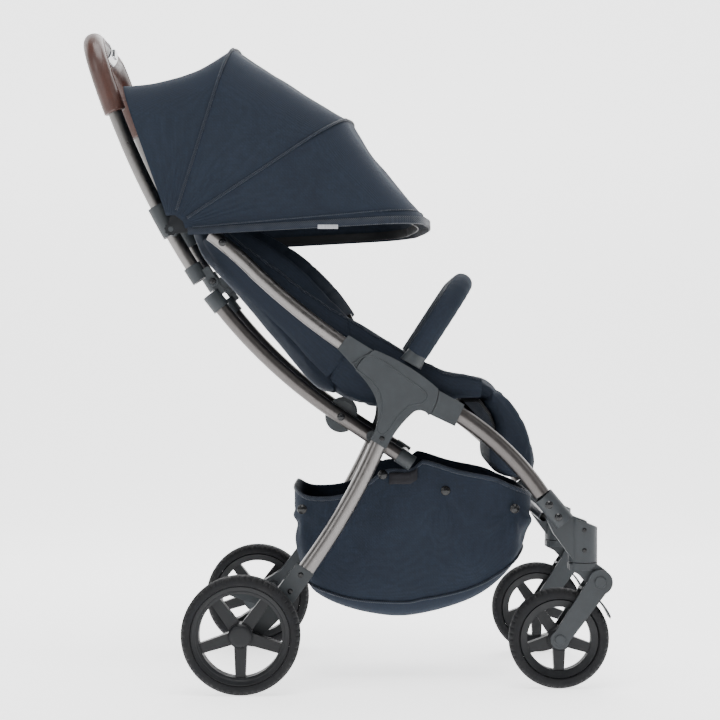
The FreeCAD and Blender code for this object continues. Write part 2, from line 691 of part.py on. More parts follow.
def build_handle():
    for name, side in SIDES:
        lower_tube(name, side)
        hinge_collars(name, side)
        canopy_bracket(name, side)
    for kind in ("lower_hinge_collar", "upper_hinge_collar", "canopy_bracket"):
        pair(f"{kind}s", f"{kind}_left", f"{kind}_right")
    tube_end_fittings()
    outer = size("rail_radius")
    shape_part("handlebar_tube", swept_tube(handle_path(0.002)[0], outer, outer - size("tube_wall")))
    grips = [swept_tube(wire, size("grip_radius"), outer + size("sleeve_play"))
             for wire in handle_path(0.82, 37.0)]
    shape_part("handlebar_grip", Part.Compound(grips))
    bar = handle_path(0.002, 37.0)[0].Vertexes[-1].Point
    start = Vector(bar.x, -36.7, bar.z)
    along = Vector(0, 1, 0)
    housing = Part.makeCylinder(17.5, 73.4, start, along)
    housing = housing.makeChamfer(1.5, housing.Edges[0:1] + housing.Edges[2:3])
    bore = Part.makeCylinder(outer + size("sleeve_play"), 80.0, start - along * 3.0, along)
    slot = Part.makeBox(10.0, 30.4, 13.4, Vector(bar.x + 11.6, -15.2, bar.z - 6.7))
    shape_part("fold_button_housing", housing.cut(bore).cut(slot))
    button = Part.makeBox(5.4, 30.0, 13.0, Vector(bar.x + 15.0, -15.0, bar.z - 6.5))
    shape_part("fold_button", button.makeFillet(1.6, button.Edges))


# ---------------------------------------------------------------- bumper bar

def bumper_line(start_length):
    """The bumper bar's tilted U, from a length above its foot on the left to the right."""
    half = 176.0
    bend = 62.0
    angle = math.radians(57.0)
    rise = Vector(math.cos(angle), 0, math.sin(angle))
    foot = Vector(106.0, half, 505.0)
    length = 143.0
    start = foot + rise * start_length
    top = foot + rise * (length - bend)
    inward = Vector(0, -1, 0)
    corner = top + (rise + inward) * bend
    corner_mid = top + inward * bend + (rise - inward) * (bend / math.sqrt(2))
    edges = [Part.LineSegment(start, top).toShape(), Part.Arc(top, corner_mid, corner).toShape()]
    bar = Part.LineSegment(corner, Vector(corner.x, -corner.y, corner.z)).toShape()
    far = [edge.mirror(Vector(0, 0, 0), Vector(0, 1, 0)) for edge in reversed(edges)]
    return Part.Wire(edges + [bar] + far), foot, rise


def build_bumper():
    core_path, foot, rise = bumper_line(4.0)
    core = size("bumper_core_radius")
    shape_part("bumper_bar_core", swept_tube(core_path, core, core - size("tube_wall")))
    sleeve_path = bumper_line(16.0)[0]
    shape_part("bumper_bar_sleeve", swept_tube(sleeve_path, size("bumper_radius"), core + 0.2))
    sockets = []
    for _, side in SIDES:
        base = Vector(foot.x, side * foot.y, foot.z)
        socket = Part.makeCone(19.0, 15.0, 27.0, base - rise * 12.0, rise)
        bore = Part.makeCylinder(core + 0.4, 22.0, base - rise * 2.0, rise)
        hub_room = Part.makeBox(80.0, 40.0, 60.0, Vector(-40.0, -20.0, -60.0))
        hub_room.rotate(Vector(0, 0, 0), Vector(0, 1, 0), 29.5)
        hub_room.translate(Vector(100.0, side * 179.0, 500.2))
        sockets.append(socket.cut(bore).cut(hub_room))
    shape_part("bumper_sockets", Part.Compound(sockets))


# ---------------------------------------------------------------- canopy

def canopy_profile(radius, half_width, start, degrees):
    """The closed U outline of the canopy in the plane of one bow, turned to the bow's angle."""
    corner = 78.0
    rise = 12.0
    points = [Vector(start, -half_width, 0), Vector(radius - corner, -half_width, 0)]
    diagonal = corner * (1 - 1 / math.sqrt(2))
    edges = [
        Part.LineSegment(points[0], points[1]).toShape(),
        Part.Arc(points[1], Vector(radius - diagonal, -half_width + diagonal, 0),
                 Vector(radius, -half_width + corner, 0)).toShape(),
        Part.Arc(Vector(radius, -half_width + corner, 0), Vector(radius + rise, 0, 0),
                 Vector(radius, half_width - corner, 0)).toShape(),
        Part.Arc(Vector(radius, half_width - corner, 0),
                 Vector(radius - diagonal, half_width - diagonal, 0),
                 Vector(radius - corner, half_width, 0)).toShape(),
        Part.LineSegment(Vector(radius - corner, half_width, 0), Vector(start, half_width, 0)).toShape(),
        Part.LineSegment(Vector(start, half_width, 0), points[0]).toShape(),
    ]
    wire = Part.Wire(edges)
    wire.rotate(Vector(0, 0, 0), Vector(0, 1, 0), -degrees)
    wire.translate(Vector(CANOPY_PIVOT[0], 0, CANOPY_PIVOT[1]))
    return wire


# name, angle above the horizontal, outer radius of the canopy there, depth of the bow under it
BOWS = (("front", 3.0, 391.0, 19.0), ("middle", 33.3, 320.0, 7.0), ("rear", 72.4, 300.0, 9.5))


def canopy_bow(name, degrees, radius, layer):
    """A thin springy strip bent into a U. Each bow's feet have a layer of their own on the pin."""
    thin = size("bow_thickness")
    width = size("bow_width")
    half = size("canopy_plane") - 1.8 - layer * (thin + 0.2)
    outside = canopy_profile(radius, half, -8.0, 0.0)
    inside = canopy_profile(radius - thin, half - thin, -20.0, 0.0)
    strip = Part.Face(outside).extrude(Vector(0, 0, width)).cut(
        Part.Face(inside).extrude(Vector(0, 0, width)))
    strip.translate(Vector(0, 0, -0.5 * width))
    centre = Vector(CANOPY_PIVOT[0], 0, CANOPY_PIVOT[1])
    hole = Part.makeCylinder(4.1, 500.0, centre - Vector(0, 250.0, 0), Vector(0, 1, 0))
    strip = strip.cut(hole)
    strip.rotate(centre, Vector(0, 1, 0), -degrees)
    shape_part(f"canopy_bow_{name}", strip)


def canopy_panel(name, low, high):
    """One gore of the canopy, a thin shell ruled between two U outlines round the hinge line."""
    wall = size("canopy_wall")

    def gore(shrink, start):
        outlines = [canopy_profile(radius - shrink, half - shrink, start, degrees)
                    for degrees, radius, half in (low, high)]
        return Part.makeLoft(outlines, True, True)

    shape_part(f"canopy_panel_{name}", gore(0.0, 24.0).cut(gore(wall, 8.0)))


def build_canopy():
    half = size("canopy_plane") + 2.0
    for layer, (name, degrees, radius, depth) in enumerate(BOWS):
        canopy_bow(name, degrees, radius - depth, layer)
    front, middle, rear = [(degrees, radius, half) for _, degrees, radius, _ in BOWS]
    canopy_panel("front", (front[0] - 1.6, front[1], half), (middle[0] - 0.2, middle[1], half))
    canopy_panel("middle", (middle[0] + 0.2, middle[1], half), (rear[0] - 0.2, rear[1], half))
    canopy_panel("rear", (rear[0] + 0.2, rear[1], half), (109.5, 244.0, 194.0))


# ---------------------------------------------------------------- seat and basket

def side_slab(label, outline, width_rule):
    """A plain slab across the stroller, from its outline in the side view."""
    body = new_body(label)
    sketch = new_sketch(body)
    add_outline(sketch, outline)
    pad(body, sketch, width_rule)
    return body


def build_seat():
    across = "2 * dimensions.seat_half_width"
    side_slab("seat_base", [
        (10.0, 470.0), (60.0, 492.0), (146.0, 486.0), (214.0, 474.0), (205.0, 448.0), (120.0, 446.0),
        (40.0, 434.0), (12.0, 440.0)], across)
    side_slab("leg_rest", [
        (222.0, 473.0), ((254.0, 444.0), (283.0, 398.0)), ((297.0, 362.0), (301.0, 320.0)),
        (280.0, 320.0), ((272.0, 366.0), (243.0, 411.0)), (214.0, 449.0)], across)
    side_slab("backrest", [
        (-2.0, 480.0), (-62.0, 545.0), (-124.0, 612.0), (-190.0, 690.0), (-222.0, 742.0),
        (-246.0, 726.0), (-222.0, 668.0), (-168.0, 612.0), (-100.0, 530.0), (-40.0, 460.0),
        (-6.0, 442.0)], across)
    straps = []
    for side in (-1, 1):
        points = [(-206.2, 717.2), (-165.0, 716.0), (-118.0, 696.0), (-68.0, 664.0), (-20.0, 617.0), (10.0, 576.0),
                  (2.0, 569.0), (-28.0, 609.0), (-76.0, 655.0), (-124.0, 686.0), (-168.0, 704.0), (-197.0, 702.2)]
        wire = Part.makePolygon([Vector(x, side * 50.0 - 19.0, z) for x, z in points + points[:1]])
        straps.append(Part.Face(wire).extrude(Vector(0, 38.0, 0)))
    shape_part("shoulder_straps", Part.Compound(straps))
    buckle = Part.makeBox(16.0, 52.0, 44.0, Vector(62.0, -26.0, 493.5))
    shape_part("crotch_buckle", buckle.makeFillet(5.0, buckle.Edges))


def build_basket():
    body = new_body("basket")
    outline = new_sketch(body)
    wall = size("basket_wall")
    add_outline(outline, [
        (-81.0, 300.0), (-71.0, 190.0), ((-62.0, 148.0), (-34.0, 131.0)), ((34.0, 111.0), (110.0, 107.0)),
        ((200.0, 134.0), (262.0, 180.0)), ((288.0, 210.0), (296.0, 245.0)), (295.0, 268.0),
        (288.0, 292.0), (256.0, 311.0), (180.0, 332.0), (118.0, 341.0), (40.0, 320.0)])
    pad(body, outline, "2 * dimensions.basket_half_width")
    doc.recompute()
    room = new_sketch(body)
    add_outline(room, [
        (-81.0 + wall, 330.0), (-81.0 + wall, 300.0), (-71.0 + wall, 190.0),
        ((-62.0 + wall, 148.0 + wall), (-34.0 + wall, 131.0 + wall)),
        ((34.0, 111.0 + wall), (110.0, 107.0 + wall)),
        ((200.0 - wall, 134.0 + wall), (262.0 - wall, 180.0 + wall)),
        ((288.0 - wall, 210.0 + wall), (296.0 - wall, 245.0)), (295.0 - wall, 268.0),
        (288.0 - wall, 292.0), (288.0 - wall, 380.0), (-81.0 + wall, 380.0)])
    pocket(body, room, "2 * dimensions.basket_half_width - 2 * dimensions.basket_wall")


# ---------------------------------------------------------------- brake and fasteners

def build_brake():
    """Foot pedal that turns on the rear cross tube."""
    along = Vector(0, 1, 0)
    axis = Vector(-126.0, 0, 112.0)
    collar = Part.makeCylinder(14.5, 90.0, axis - along * 45.0, along)
    arm_points = [(-132.0, 124.0), (-198.0, 137.0), (-201.0, 129.0), (-128.0, 104.0)]
    wire = Part.makePolygon([Vector(x, -36.0, z) for x, z in arm_points + arm_points[:1]])
    arm = Part.Face(wire).extrude(Vector(0, 72.0, 0))
    bore = Part.makeCylinder(10.06, 100.0, axis - along * 50.0, along)
    shape_part("brake_pedal", collar.fuse(arm).cut(bore).removeSplitter())


def build_rivets():
    leg = size("leg_plane")
    handle = size("handle_plane")
    front, rails, lower = [], [], []
    for _, side in SIDES:
        leg_face = side * (leg + size("leg_radius") + 3.2)
        front.extend([(313.0, 284.0, leg_face, side), (327.0, 265.0, leg_face, side)])
        rails.append((-186.0, 684.5, side * (leg + size("rail_radius")), side))
        lower.append((-5.0, 417.0, side * (handle + size("rail_radius")), side))
    rivet_group("front_leg_rivets", front)
    rivet_group("seat_rail_rivets", rails)
    rivet_group("lower_tube_rivets", lower)


# ---------------------------------------------------------------- build, check and write

build_side_frame()
build_cross_members()
build_wheels()
build_casters()
build_handle()
build_bumper()
build_canopy()
build_seat()
build_basket()
build_brake()
build_rivets()
doc.recompute()

for item in doc.Objects:
    if "Invalid" in item.State or "Error" in item.State:
        raise RuntimeError(f"{item.Label} failed to build")
for label, item in parts.items():
    if item.Shape.isNull() or not item.Shape.isValid():
        raise RuntimeError(f"{label} has no valid shape")

os.makedirs("parts", exist_ok=True)
for old in os.listdir("parts"):
    if old.endswith(".step"):
        os.remove(os.path.join("parts", old))
box = FreeCAD.BoundBox()
for label, item in parts.items():
    item.Shape.exportStep(os.path.join("parts", f"{label}.step"))
    box.add(item.Shape.optimalBoundingBox())
print(len(parts), "sub-parts, overall box", box)
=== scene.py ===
"""Looks of the folding stroller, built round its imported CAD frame. Lengths below are in
millimetres in the part's own frame, and each piece is scaled to metres as it is made."""

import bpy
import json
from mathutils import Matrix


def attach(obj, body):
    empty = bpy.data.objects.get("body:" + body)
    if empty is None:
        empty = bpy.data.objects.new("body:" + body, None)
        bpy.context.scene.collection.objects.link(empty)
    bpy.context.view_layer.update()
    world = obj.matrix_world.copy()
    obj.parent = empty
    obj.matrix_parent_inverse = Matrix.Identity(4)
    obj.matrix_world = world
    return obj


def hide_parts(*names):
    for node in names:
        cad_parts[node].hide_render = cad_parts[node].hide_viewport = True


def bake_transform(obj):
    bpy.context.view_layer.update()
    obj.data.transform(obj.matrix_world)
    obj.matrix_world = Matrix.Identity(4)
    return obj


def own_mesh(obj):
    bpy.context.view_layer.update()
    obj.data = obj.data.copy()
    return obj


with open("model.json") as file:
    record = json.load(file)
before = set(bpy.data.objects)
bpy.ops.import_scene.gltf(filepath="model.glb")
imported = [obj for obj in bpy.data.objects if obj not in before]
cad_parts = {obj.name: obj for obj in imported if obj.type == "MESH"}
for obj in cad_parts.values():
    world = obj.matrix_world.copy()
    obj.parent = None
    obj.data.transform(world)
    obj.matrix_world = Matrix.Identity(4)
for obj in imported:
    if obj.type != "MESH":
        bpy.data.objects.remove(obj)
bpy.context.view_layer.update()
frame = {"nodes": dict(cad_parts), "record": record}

import json
import math

import bmesh
import bpy
from mathutils import Vector, noise

MM = 0.001
NODES = frame["nodes"]
SIDES = (("left", 1), ("right", -1))

REAR_AXLE = (-155.6, 90)
FRONT_AXLE = (330.4, 77)
CANOPY_PIVOT = (-264, 704.6)
HANDLE_ARC = ((-222, 628), (-324, 813), (-377, 950))
RAIL_ARC = ((-66, 578), (-134, 637), (-171, 672))


# ---------------------------------------------------------------- node materials

class Shade:
    """One procedural material, with short calls for the nodes that it needs."""

    def __init__(self, name, roughness=0.5, metallic=0, sheen=0, coat=0, glint=0.5):
        self.material = bpy.data.materials.new(name)
        self.material.use_nodes = True
        self.tree = self.material.node_tree
        self.shader = self.tree.nodes["Principled BSDF"]
        self.shader.inputs["Roughness"].default_value = roughness
        self.shader.inputs["Metallic"].default_value = metallic
        self.shader.inputs["Sheen Weight"].default_value = sheen
        self.shader.inputs["Sheen Roughness"].default_value = 0.45
        self.shader.inputs["Coat Weight"].default_value = coat
        self.shader.inputs["Specular IOR Level"].default_value = glint
        self.coords = self.node("ShaderNodeTexCoord").outputs["Object"]

    def node(self, kind, **settings):
        made = self.tree.nodes.new(kind)
        for key, value in settings.items():
            setattr(made, key, value)
        return made

    def feed(self, socket, source):
        if isinstance(source, bpy.types.NodeSocket):
            self.tree.links.new(source, socket)
        else:
            socket.default_value = source

    def stretched(self, scale):
        mapping = self.node("ShaderNodeMapping")
        self.feed(mapping.inputs["Vector"], self.coords)
        mapping.inputs["Scale"].default_value = scale
        return mapping.outputs["Vector"]

    def noise(self, scale, detail=3, stretch=None, roughness=0.55):
        made = self.node("ShaderNodeTexNoise")
        self.feed(made.inputs["Vector"], self.stretched(stretch) if stretch else self.coords)
        made.inputs["Scale"].default_value = scale
        made.inputs["Detail"].default_value = detail
        made.inputs["Roughness"].default_value = roughness
        return made.outputs["Fac"]

    def cells(self, scale, feature="F1"):
        made = self.node("ShaderNodeTexVoronoi", feature=feature)
        self.feed(made.inputs["Vector"], self.coords)
        made.inputs["Scale"].default_value = scale
        return made.outputs["Distance"]

    def bands(self, period, direction, stretch=None):
        """Threads of one direction, a period apart in millimetres."""
        made = self.node("ShaderNodeTexWave", bands_direction=direction)
        self.feed(made.inputs["Vector"], self.stretched(stretch) if stretch else self.coords)
        made.inputs["Scale"].default_value = math.pi / (10 * period * MM)
        return made.outputs["Fac"]

    def math(self, operation, a, b):
        made = self.node("ShaderNodeMath", operation=operation)
        self.feed(made.inputs[0], a)
        self.feed(made.inputs[1], b)
        return made.outputs[0]

    def ramp(self, fac, *stops):
        made = self.node("ShaderNodeValToRGB")
        self.feed(made.inputs["Fac"], fac)
        elements = made.color_ramp.elements
        while len(elements) < len(stops):
            elements.new(0.5)
        for element, (place, colour) in zip(elements, stops):
            element.position = place
            element.color = (*colour, 1)
        return made.outputs["Color"]

    def tones(self, fac, colour, *stops):
        """A ramp whose stops are a place and a share of one colour."""
        return self.ramp(fac, *((place, tint(colour, share)) for place, share in stops))

    def mixed(self, fac, a, b):
        made = self.node("ShaderNodeMix", data_type="RGBA", blend_type="MIX")
        self.feed(made.inputs["Factor"], fac)
        for socket, source in ((made.inputs["A"], a), (made.inputs["B"], b)):
            self.feed(socket, (*source, 1) if isinstance(source, tuple) else source)
        return made.outputs["Result"]

    def spread(self, fac, low, high):
        made = self.node("ShaderNodeMapRange")
        self.feed(made.inputs["Value"], fac)
        made.inputs["From Min"].default_value = 0.3
        made.inputs["From Max"].default_value = 0.7
        made.inputs["To Min"].default_value = low
        made.inputs["To Max"].default_value = high
        return made.outputs["Result"]

    def bump(self, height, distance, strength=1):
        """Adds a bump, its depth in millimetres, to those already on the material."""
        made = self.node("ShaderNodeBump")
        made.inputs["Distance"].default_value = distance * MM
        made.inputs["Strength"].default_value = strength
        self.feed(made.inputs["Height"], height)
        normal = self.shader.inputs["Normal"]
        if normal.is_linked:
            self.feed(made.inputs["Normal"], normal.links[0].from_socket)
        self.feed(normal, made.outputs["Normal"])

    def colour(self, source):
        self.feed(self.shader.inputs["Base Color"], source)

    def gloss(self, source):
        self.feed(self.shader.inputs["Roughness"], source)


def tint(colour, share):
    return tuple(min(1, channel * share) for channel in colour)


def woven(name, colour, period=1.5, sheen=0.15, depth=0.28, mottle=0.22):
    """Cloth of crossed threads, with slubs, a heathered tone and a soft sheen."""
    shade = Shade(name, sheen=sheen, glint=0.16)
    across = shade.bands(period, "X")
    up = shade.bands(period, "Z")
    side = shade.bands(period, "Y")
    twill = shade.bands(period * 1.9, "DIAGONAL")
    threads = shade.math("ADD", shade.math("MULTIPLY", across, up), shade.math("MULTIPLY", side, 0.5))
    threads = shade.math("ADD", threads, shade.math("MULTIPLY", twill, 0.35))
    slubs = shade.noise(420, 2, (1, 1, 0.18))
    cross_slubs = shade.noise(420, 2, (0.18, 1, 1))
    heather = shade.math("MULTIPLY", shade.math("ADD", slubs, cross_slubs), 0.5)
    cloud = shade.noise(9, 4)
    base = shade.tones(heather, colour, (0.30, 0.72), (0.50, 1), (0.72, 1.5))
    base = shade.mixed(mottle, base, shade.tones(cloud, colour, (0.35, 0.7), (0.65, 1.35)))
    weave = shade.tones(threads, colour, (0.1, 0.55), (0.9, 1.5))
    shade.colour(shade.mixed(0.2, base, weave))
    shade.gloss(shade.spread(heather, 0.68, 0.9))
    shade.bump(cloud, 1.2, 0.25)
    shade.bump(threads, depth, 0.6)
    shade.shader.inputs["Sheen Tint"].default_value = (*tint(colour, 5), 1)
    return shade.material


def webbing(name, colour):
    shade = Shade(name, sheen=0.1, glint=0.2)
    ribs = shade.bands(1.6, "DIAGONAL", (1, 0, 1))
    rows = shade.bands(2.4, "Y")
    both = shade.math("ADD", ribs, shade.math("MULTIPLY", rows, 0.6))
    shade.colour(shade.tones(both, colour, (0.2, 0.6), (1.2 / 1.6, 1.5)))
    shade.gloss(shade.spread(shade.noise(80), 0.5, 0.75))
    shade.bump(both, 0.35)
    return shade.material


def leather(name, colour):
    shade = Shade(name, coat=0.12)
    pebble = shade.cells(520)
    creases = shade.cells(190, "DISTANCE_TO_EDGE")
    worn = shade.noise(26, 4)
    base = shade.tones(worn, colour, (0.3, 0.62), (0.52, 1), (0.75, 1.55))
    grain = shade.tones(pebble, colour, (0, 0.55), (0.6, 1.25))
    shade.colour(shade.mixed(0.35, base, grain))
    shade.gloss(shade.spread(worn, 0.52, 0.34))
    shade.bump(worn, 0.6, 0.3)
    shade.bump(creases, 0.3, 0.5)
    shade.bump(pebble, 0.35, 0.7)
    return shade.material


def moulded(name, colour, grain=900, rough=(0.42, 0.6), depth=0.12, edge=0, glint=0.5):
    """Plastic from an etched mould: a fine spark grain, faint flow clouds and dust."""
    shade = Shade(name, glint=glint)
    flow = shade.noise(14, 4)
    dust = shade.noise(120, 5)
    base = shade.tones(flow, colour, (0.3, 0.82), (0.7, 1.2))
    specks = shade.tones(dust, colour, (0.45, 0.9), (0.75, 1.8))
    shade.colour(shade.mixed(0.3, base, specks))
    shade.gloss(shade.spread(dust, *rough))
    if edge:
        rounding = shade.node("ShaderNodeBevel", samples=4)
        rounding.inputs["Radius"].default_value = edge * MM
        shade.feed(shade.shader.inputs["Normal"], rounding.outputs["Normal"])
    shade.bump(shade.cells(grain), depth, 0.6)
    shade.bump(flow, 0.5, 0.12)
    return shade.material


def metal(name, colour, rough=(0.24, 0.38), stretch=(1, 1, 0.03), metallic=1):
    """Satin tube: drawn or brushed lines, a soft variation and small scuffs."""
    shade = Shade(name, metallic=metallic, coat=0.15)
    drawn = shade.noise(900, 3, stretch)
    cloud = shade.noise(11, 3)
    scuff = shade.noise(160, 6)
    base = shade.tones(drawn, colour, (0.3, 0.88), (0.7, 1.12))
    base = shade.mixed(0.25, base, shade.tones(cloud, colour, (0.3, 0.8), (0.7, 1.15)))
    marks = shade.tones(scuff, colour, (0.55, 0.8), (0.8, 1.5))
    shade.colour(shade.mixed(0.12, base, marks))
    shade.gloss(shade.spread(scuff, *rough))
    shade.bump(drawn, 0.05, 0.4)
    return shade.material


def rubber(name, colour):
    shade = Shade(name, glint=0.28)
    grain = shade.noise(700, 3)
    dust = shade.noise(38, 5)
    shade.colour(shade.tones(dust, colour, (0.3, 0.7), (0.55, 1), (0.8, 2.3)))
    shade.gloss(shade.spread(dust, 0.62, 0.88))
    shade.bump(grain, 0.25, 0.6)
    shade.bump(dust, 0.4, 0.2)
    return shade.material


NAVY = (0.0112, 0.0160, 0.0255)
CLOTH = woven("navy_cloth", NAVY)
CLOTH_DARK = woven("navy_seat_cloth", tint(NAVY, 0.85), period=1.9, sheen=0.12)
CLOTH_BAG = woven("navy_basket_cloth", tint(NAVY, 1.08), period=1.3, sheen=0.16)
BINDING = webbing("navy_binding", tint(NAVY, 0.8))
STRAP = webbing("harness_webbing", (0.006, 0.008, 0.012))
LEATHER = leather("brown_leather", (0.042, 0.015, 0.010))
THREAD = moulded("leather_thread", (0.075, 0.034, 0.024), 1500, (0.5, 0.7))
CHARCOAL = moulded("charcoal_moulding", (0.021, 0.025, 0.0285), edge=1.5, glint=0.4)
RIM = moulded("rim_moulding", (0.0060, 0.0067, 0.0080), 1100, (0.34, 0.5), edge=1, glint=0.28)
BLACK = moulded("black_fitting", (0.004, 0.0045, 0.0055), 1200, (0.16, 0.3), glint=0.4)
DARK_STRIP = moulded("bow_strip_plastic", (0.007, 0.008, 0.010), 1000, (0.4, 0.55), glint=0.25)
BLANK_TAG = woven("blank_label", (0.016, 0.016, 0.019), period=0.9, sheen=0, depth=0.12)
PALE_TAG = woven("pale_tag", (0.30, 0.31, 0.33), period=0.8, sheen=0, depth=0.12)
RUBBER = rubber("foam_rubber", (0.0062, 0.0065, 0.0078))
BRIGHT = metal("bright_tube", (0.165, 0.157, 0.153), (0.26, 0.38))
TAUPE = metal("taupe_tube", (0.105, 0.097, 0.094), (0.30, 0.42))
STEEL = metal("axle_steel", (0.30, 0.30, 0.31), (0.2, 0.35), (1, 0.03, 1))
CROSS = metal("cross_tube_paint", (0.020, 0.022, 0.027), (0.3, 0.45), (1, 0.03, 1), 0.6)
SILVER = metal("silver_button", (0.50, 0.51, 0.52), (0.2, 0.3), (1, 0.03, 1))

FINISHES = {"moulding": CHARCOAL, "wheel_rim": RIM, "rivet": BLACK, "tyre": RUBBER, "frame_dark": TAUPE,
    "frame_bright": BRIGHT, "cross_steel": CROSS, "axle_steel": STEEL, "fabric": CLOTH,
    "webbing": STRAP, "buckle": BLACK, "bow_strip": DARK_STRIP, "leather": LEATHER, "button": SILVER}


def repaint_frame():
    """Gives every CAD node the finish of its own slot in the record."""
    slots = {part["node"]: part["material_slot"] for part in frame["record"]["subparts"]}
    for name, node in NODES.items():
        finish = FINISHES[slots[name]]
        node.data.materials.clear()
        node.data.materials.append(finish)
        for polygon in node.data.polygons:
            polygon.material_index = 0


# ---------------------------------------------------------------- mesh helpers

def raw_object(name, shape):
    """An object from a shape, which is its points in millimetres and its faces."""
    points, faces = shape
    mesh = bpy.data.meshes.new(name)
    mesh.from_pydata([Vector(p) * MM for p in points], [], faces)
    obj = bpy.data.objects.new(name, mesh)
    bpy.context.scene.collection.objects.link(obj)
    return obj


def piece(name, shape, material, body, stands_for=(), crisp=None):
    """A finished piece from its shape, on its body and with its material."""
    obj = raw_object(name, shape)
    finish_mesh(obj, material, stands_for, crisp)
    if body:
        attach(obj, body)
    return obj


def finish_mesh(obj, material, stands_for=(), crisp=None):
    made = bmesh.new()
    made.from_mesh(obj.data)
    bmesh.ops.recalc_face_normals(made, faces=made.faces)
    made.to_mesh(obj.data)
    made.free()
    obj.data.materials.clear()
    obj.data.materials.append(material)
    obj.data.polygons.foreach_set("use_smooth", [True] * len(obj.data.polygons))
    if crisp:
        obj.data.set_sharp_from_angle(angle=math.radians(crisp))
    if stands_for:
        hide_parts(*stands_for)


def apply_modifiers(obj):
    graph = bpy.context.evaluated_depsgraph_get()
    mesh = bpy.data.meshes.new_from_object(obj.evaluated_get(graph))
    obj.modifiers.clear()
    old = obj.data
    obj.data = mesh
    bpy.data.meshes.remove(old)


def thicken(obj, thickness, smooth_levels=1):
    """Gives a cloth its thickness, inwards, and rounds its grid."""
    if smooth_levels:
        rounder = obj.modifiers.new("round", "SUBSURF")
        rounder.levels = rounder.render_levels = smooth_levels
    shell = obj.modifiers.new("cloth", "SOLIDIFY")
    shell.thickness = thickness * MM
    shell.offset = -1
    apply_modifiers(obj)


def grid(rows, closed=False):
    """Points and quads of a grid of rows; closed joins each row's ends."""
    points = [point for row in rows for point in row]
    width = len(rows[0])
    faces = []
    for i in range(len(rows) - 1):
        for j in range(width if closed else width - 1):
            k = (j + 1) % width
            faces.append((i * width + j, i * width + k, (i + 1) * width + k, (i + 1) * width + j))
    return points, faces


def arc3(a, b, c, count, first=0, last=1):
    """Points between two shares of the side-view arc from a through b to c."""
    ax, ay, bx, by, cx, cy = *a, *b, *c
    d = 2 * (ax * (by - cy) + bx * (cy - ay) + cx * (ay - by))
    ux = ((ax**2 + ay**2) * (by - cy) + (bx**2 + by**2) * (cy - ay) + (cx**2 + cy**2) * (ay - by)) / d
    uy = ((ax**2 + ay**2) * (cx - bx) + (bx**2 + by**2) * (ax - cx) + (cx**2 + cy**2) * (bx - ax)) / d
    radius = math.hypot(ax - ux, ay - uy)
    begin = math.atan2(ay - uy, ax - ux)
    turn = (math.atan2(cy - uy, cx - ux) - begin + math.pi) % (2 * math.pi) - math.pi
    shares = [first + (last - first) * i / count for i in range(count + 1)]
    angles = [begin + turn * share for share in shares]
    return [(ux + radius * math.cos(angle), uy + radius * math.sin(angle)) for angle in angles]


def framed(path, up):
    """Each path point with its tangent and two cross directions, turned as little as possible."""
    path = [Vector(p) for p in path]
    side = Vector(up)
    result = []
    for i, point in enumerate(path):
        tangent = (path[min(i + 1, len(path) - 1)] - path[max(i - 1, 0)]).normalized()
        side = (side - tangent * side.dot(tangent)).normalized()
        result.append((point, tangent, side, tangent.cross(side)))
    return result


def tube_mesh(path, up, section, around=24, caps=True):
    """A swept closed section: section(share, angle) gives the radius, or an (across, out) pair."""
    rows = []
    stations = framed(path, up)
    for i, (point, _, side, other) in enumerate(stations):
        share = i / (len(stations) - 1)
        row = []
        for j in range(around):
            angle = 2 * math.pi * j / around
            made = section(share, angle)
            a, b = made if isinstance(made, tuple) else (made * math.cos(angle), made * math.sin(angle))
            row.append(point + side * a + other * b)
        rows.append(row)
    points, faces = grid(rows, closed=True)
    if caps:
        faces.append(tuple(range(around)))
        faces.append(tuple(len(points) - around + j for j in range(around)))
    return points, faces


def dense(path, step):
    """The same path with points a step apart."""
    path = [Vector(p) for p in path]
    result = [path[0]]
    for a, b in zip(path, path[1:]):
        count = max(1, round((b - a).length / step))
        result.extend(a.lerp(b, (i + 1) / count) for i in range(count))
    return result


def flat_section(width, thickness, power=4):
    """A strap's section, a flattened superellipse, for tube_mesh."""
    def section(_, angle):
        c, s = math.cos(angle), math.sin(angle)
        return (math.copysign(abs(c) ** (2 / power), c) * width / 2,
            math.copysign(abs(s) ** (2 / power), s) * thickness / 2)
    return section


def joined(*meshes):
    points, faces = [], []
    for more_points, more_faces in meshes:
        start = len(points)
        points.extend(more_points)
        faces.extend(tuple(start + i for i in face) for face in more_faces)
    return points, faces


def lathe(profile, centre, around=96):
    """Turns (radius, axial) points about a line along Y through centre."""
    x, y, z = centre
    rows = []
    for j in range(around + 1):
        angle = 2 * math.pi * (j % around) / around
        rows.append([(x + r * math.cos(angle), y + out, z + r * math.sin(angle)) for r, out in profile])
    return grid(rows)


def cord(path, up, radius, sides=8):
    """A round cord of one radius along a path."""
    return tube_mesh(path, up, lambda share, angle: radius, sides)


def welded(obj, distance=0.02):
    """Joins points closer than distance millimetres, if it isn't 0, and turns every face outwards."""
    made = bmesh.new()
    made.from_mesh(obj.data)
    if distance:
        bmesh.ops.remove_doubles(made, verts=made.verts, dist=distance * MM)
    bmesh.ops.recalc_face_normals(made, faces=made.faces)
    made.to_mesh(obj.data)
    made.free()
    return obj


def crinkle(point, scale, seed=0):
    return noise.noise(Vector(point) / scale + Vector((seed, 3.1 * seed, 0.7)))


# ---------------------------------------------------------------- canopy

CANOPY_HALF = 201.4
BOWS = {"front": (3, 391, CANOPY_HALF), "middle": (33.3, 320, CANOPY_HALF),
    "rear": (72.4, 300, CANOPY_HALF), "back": (109.5, 244, 194.6)}
CORNER = 78
CROWN_RISE = 12
BRIM_STITCH = (380.8, 4.94)


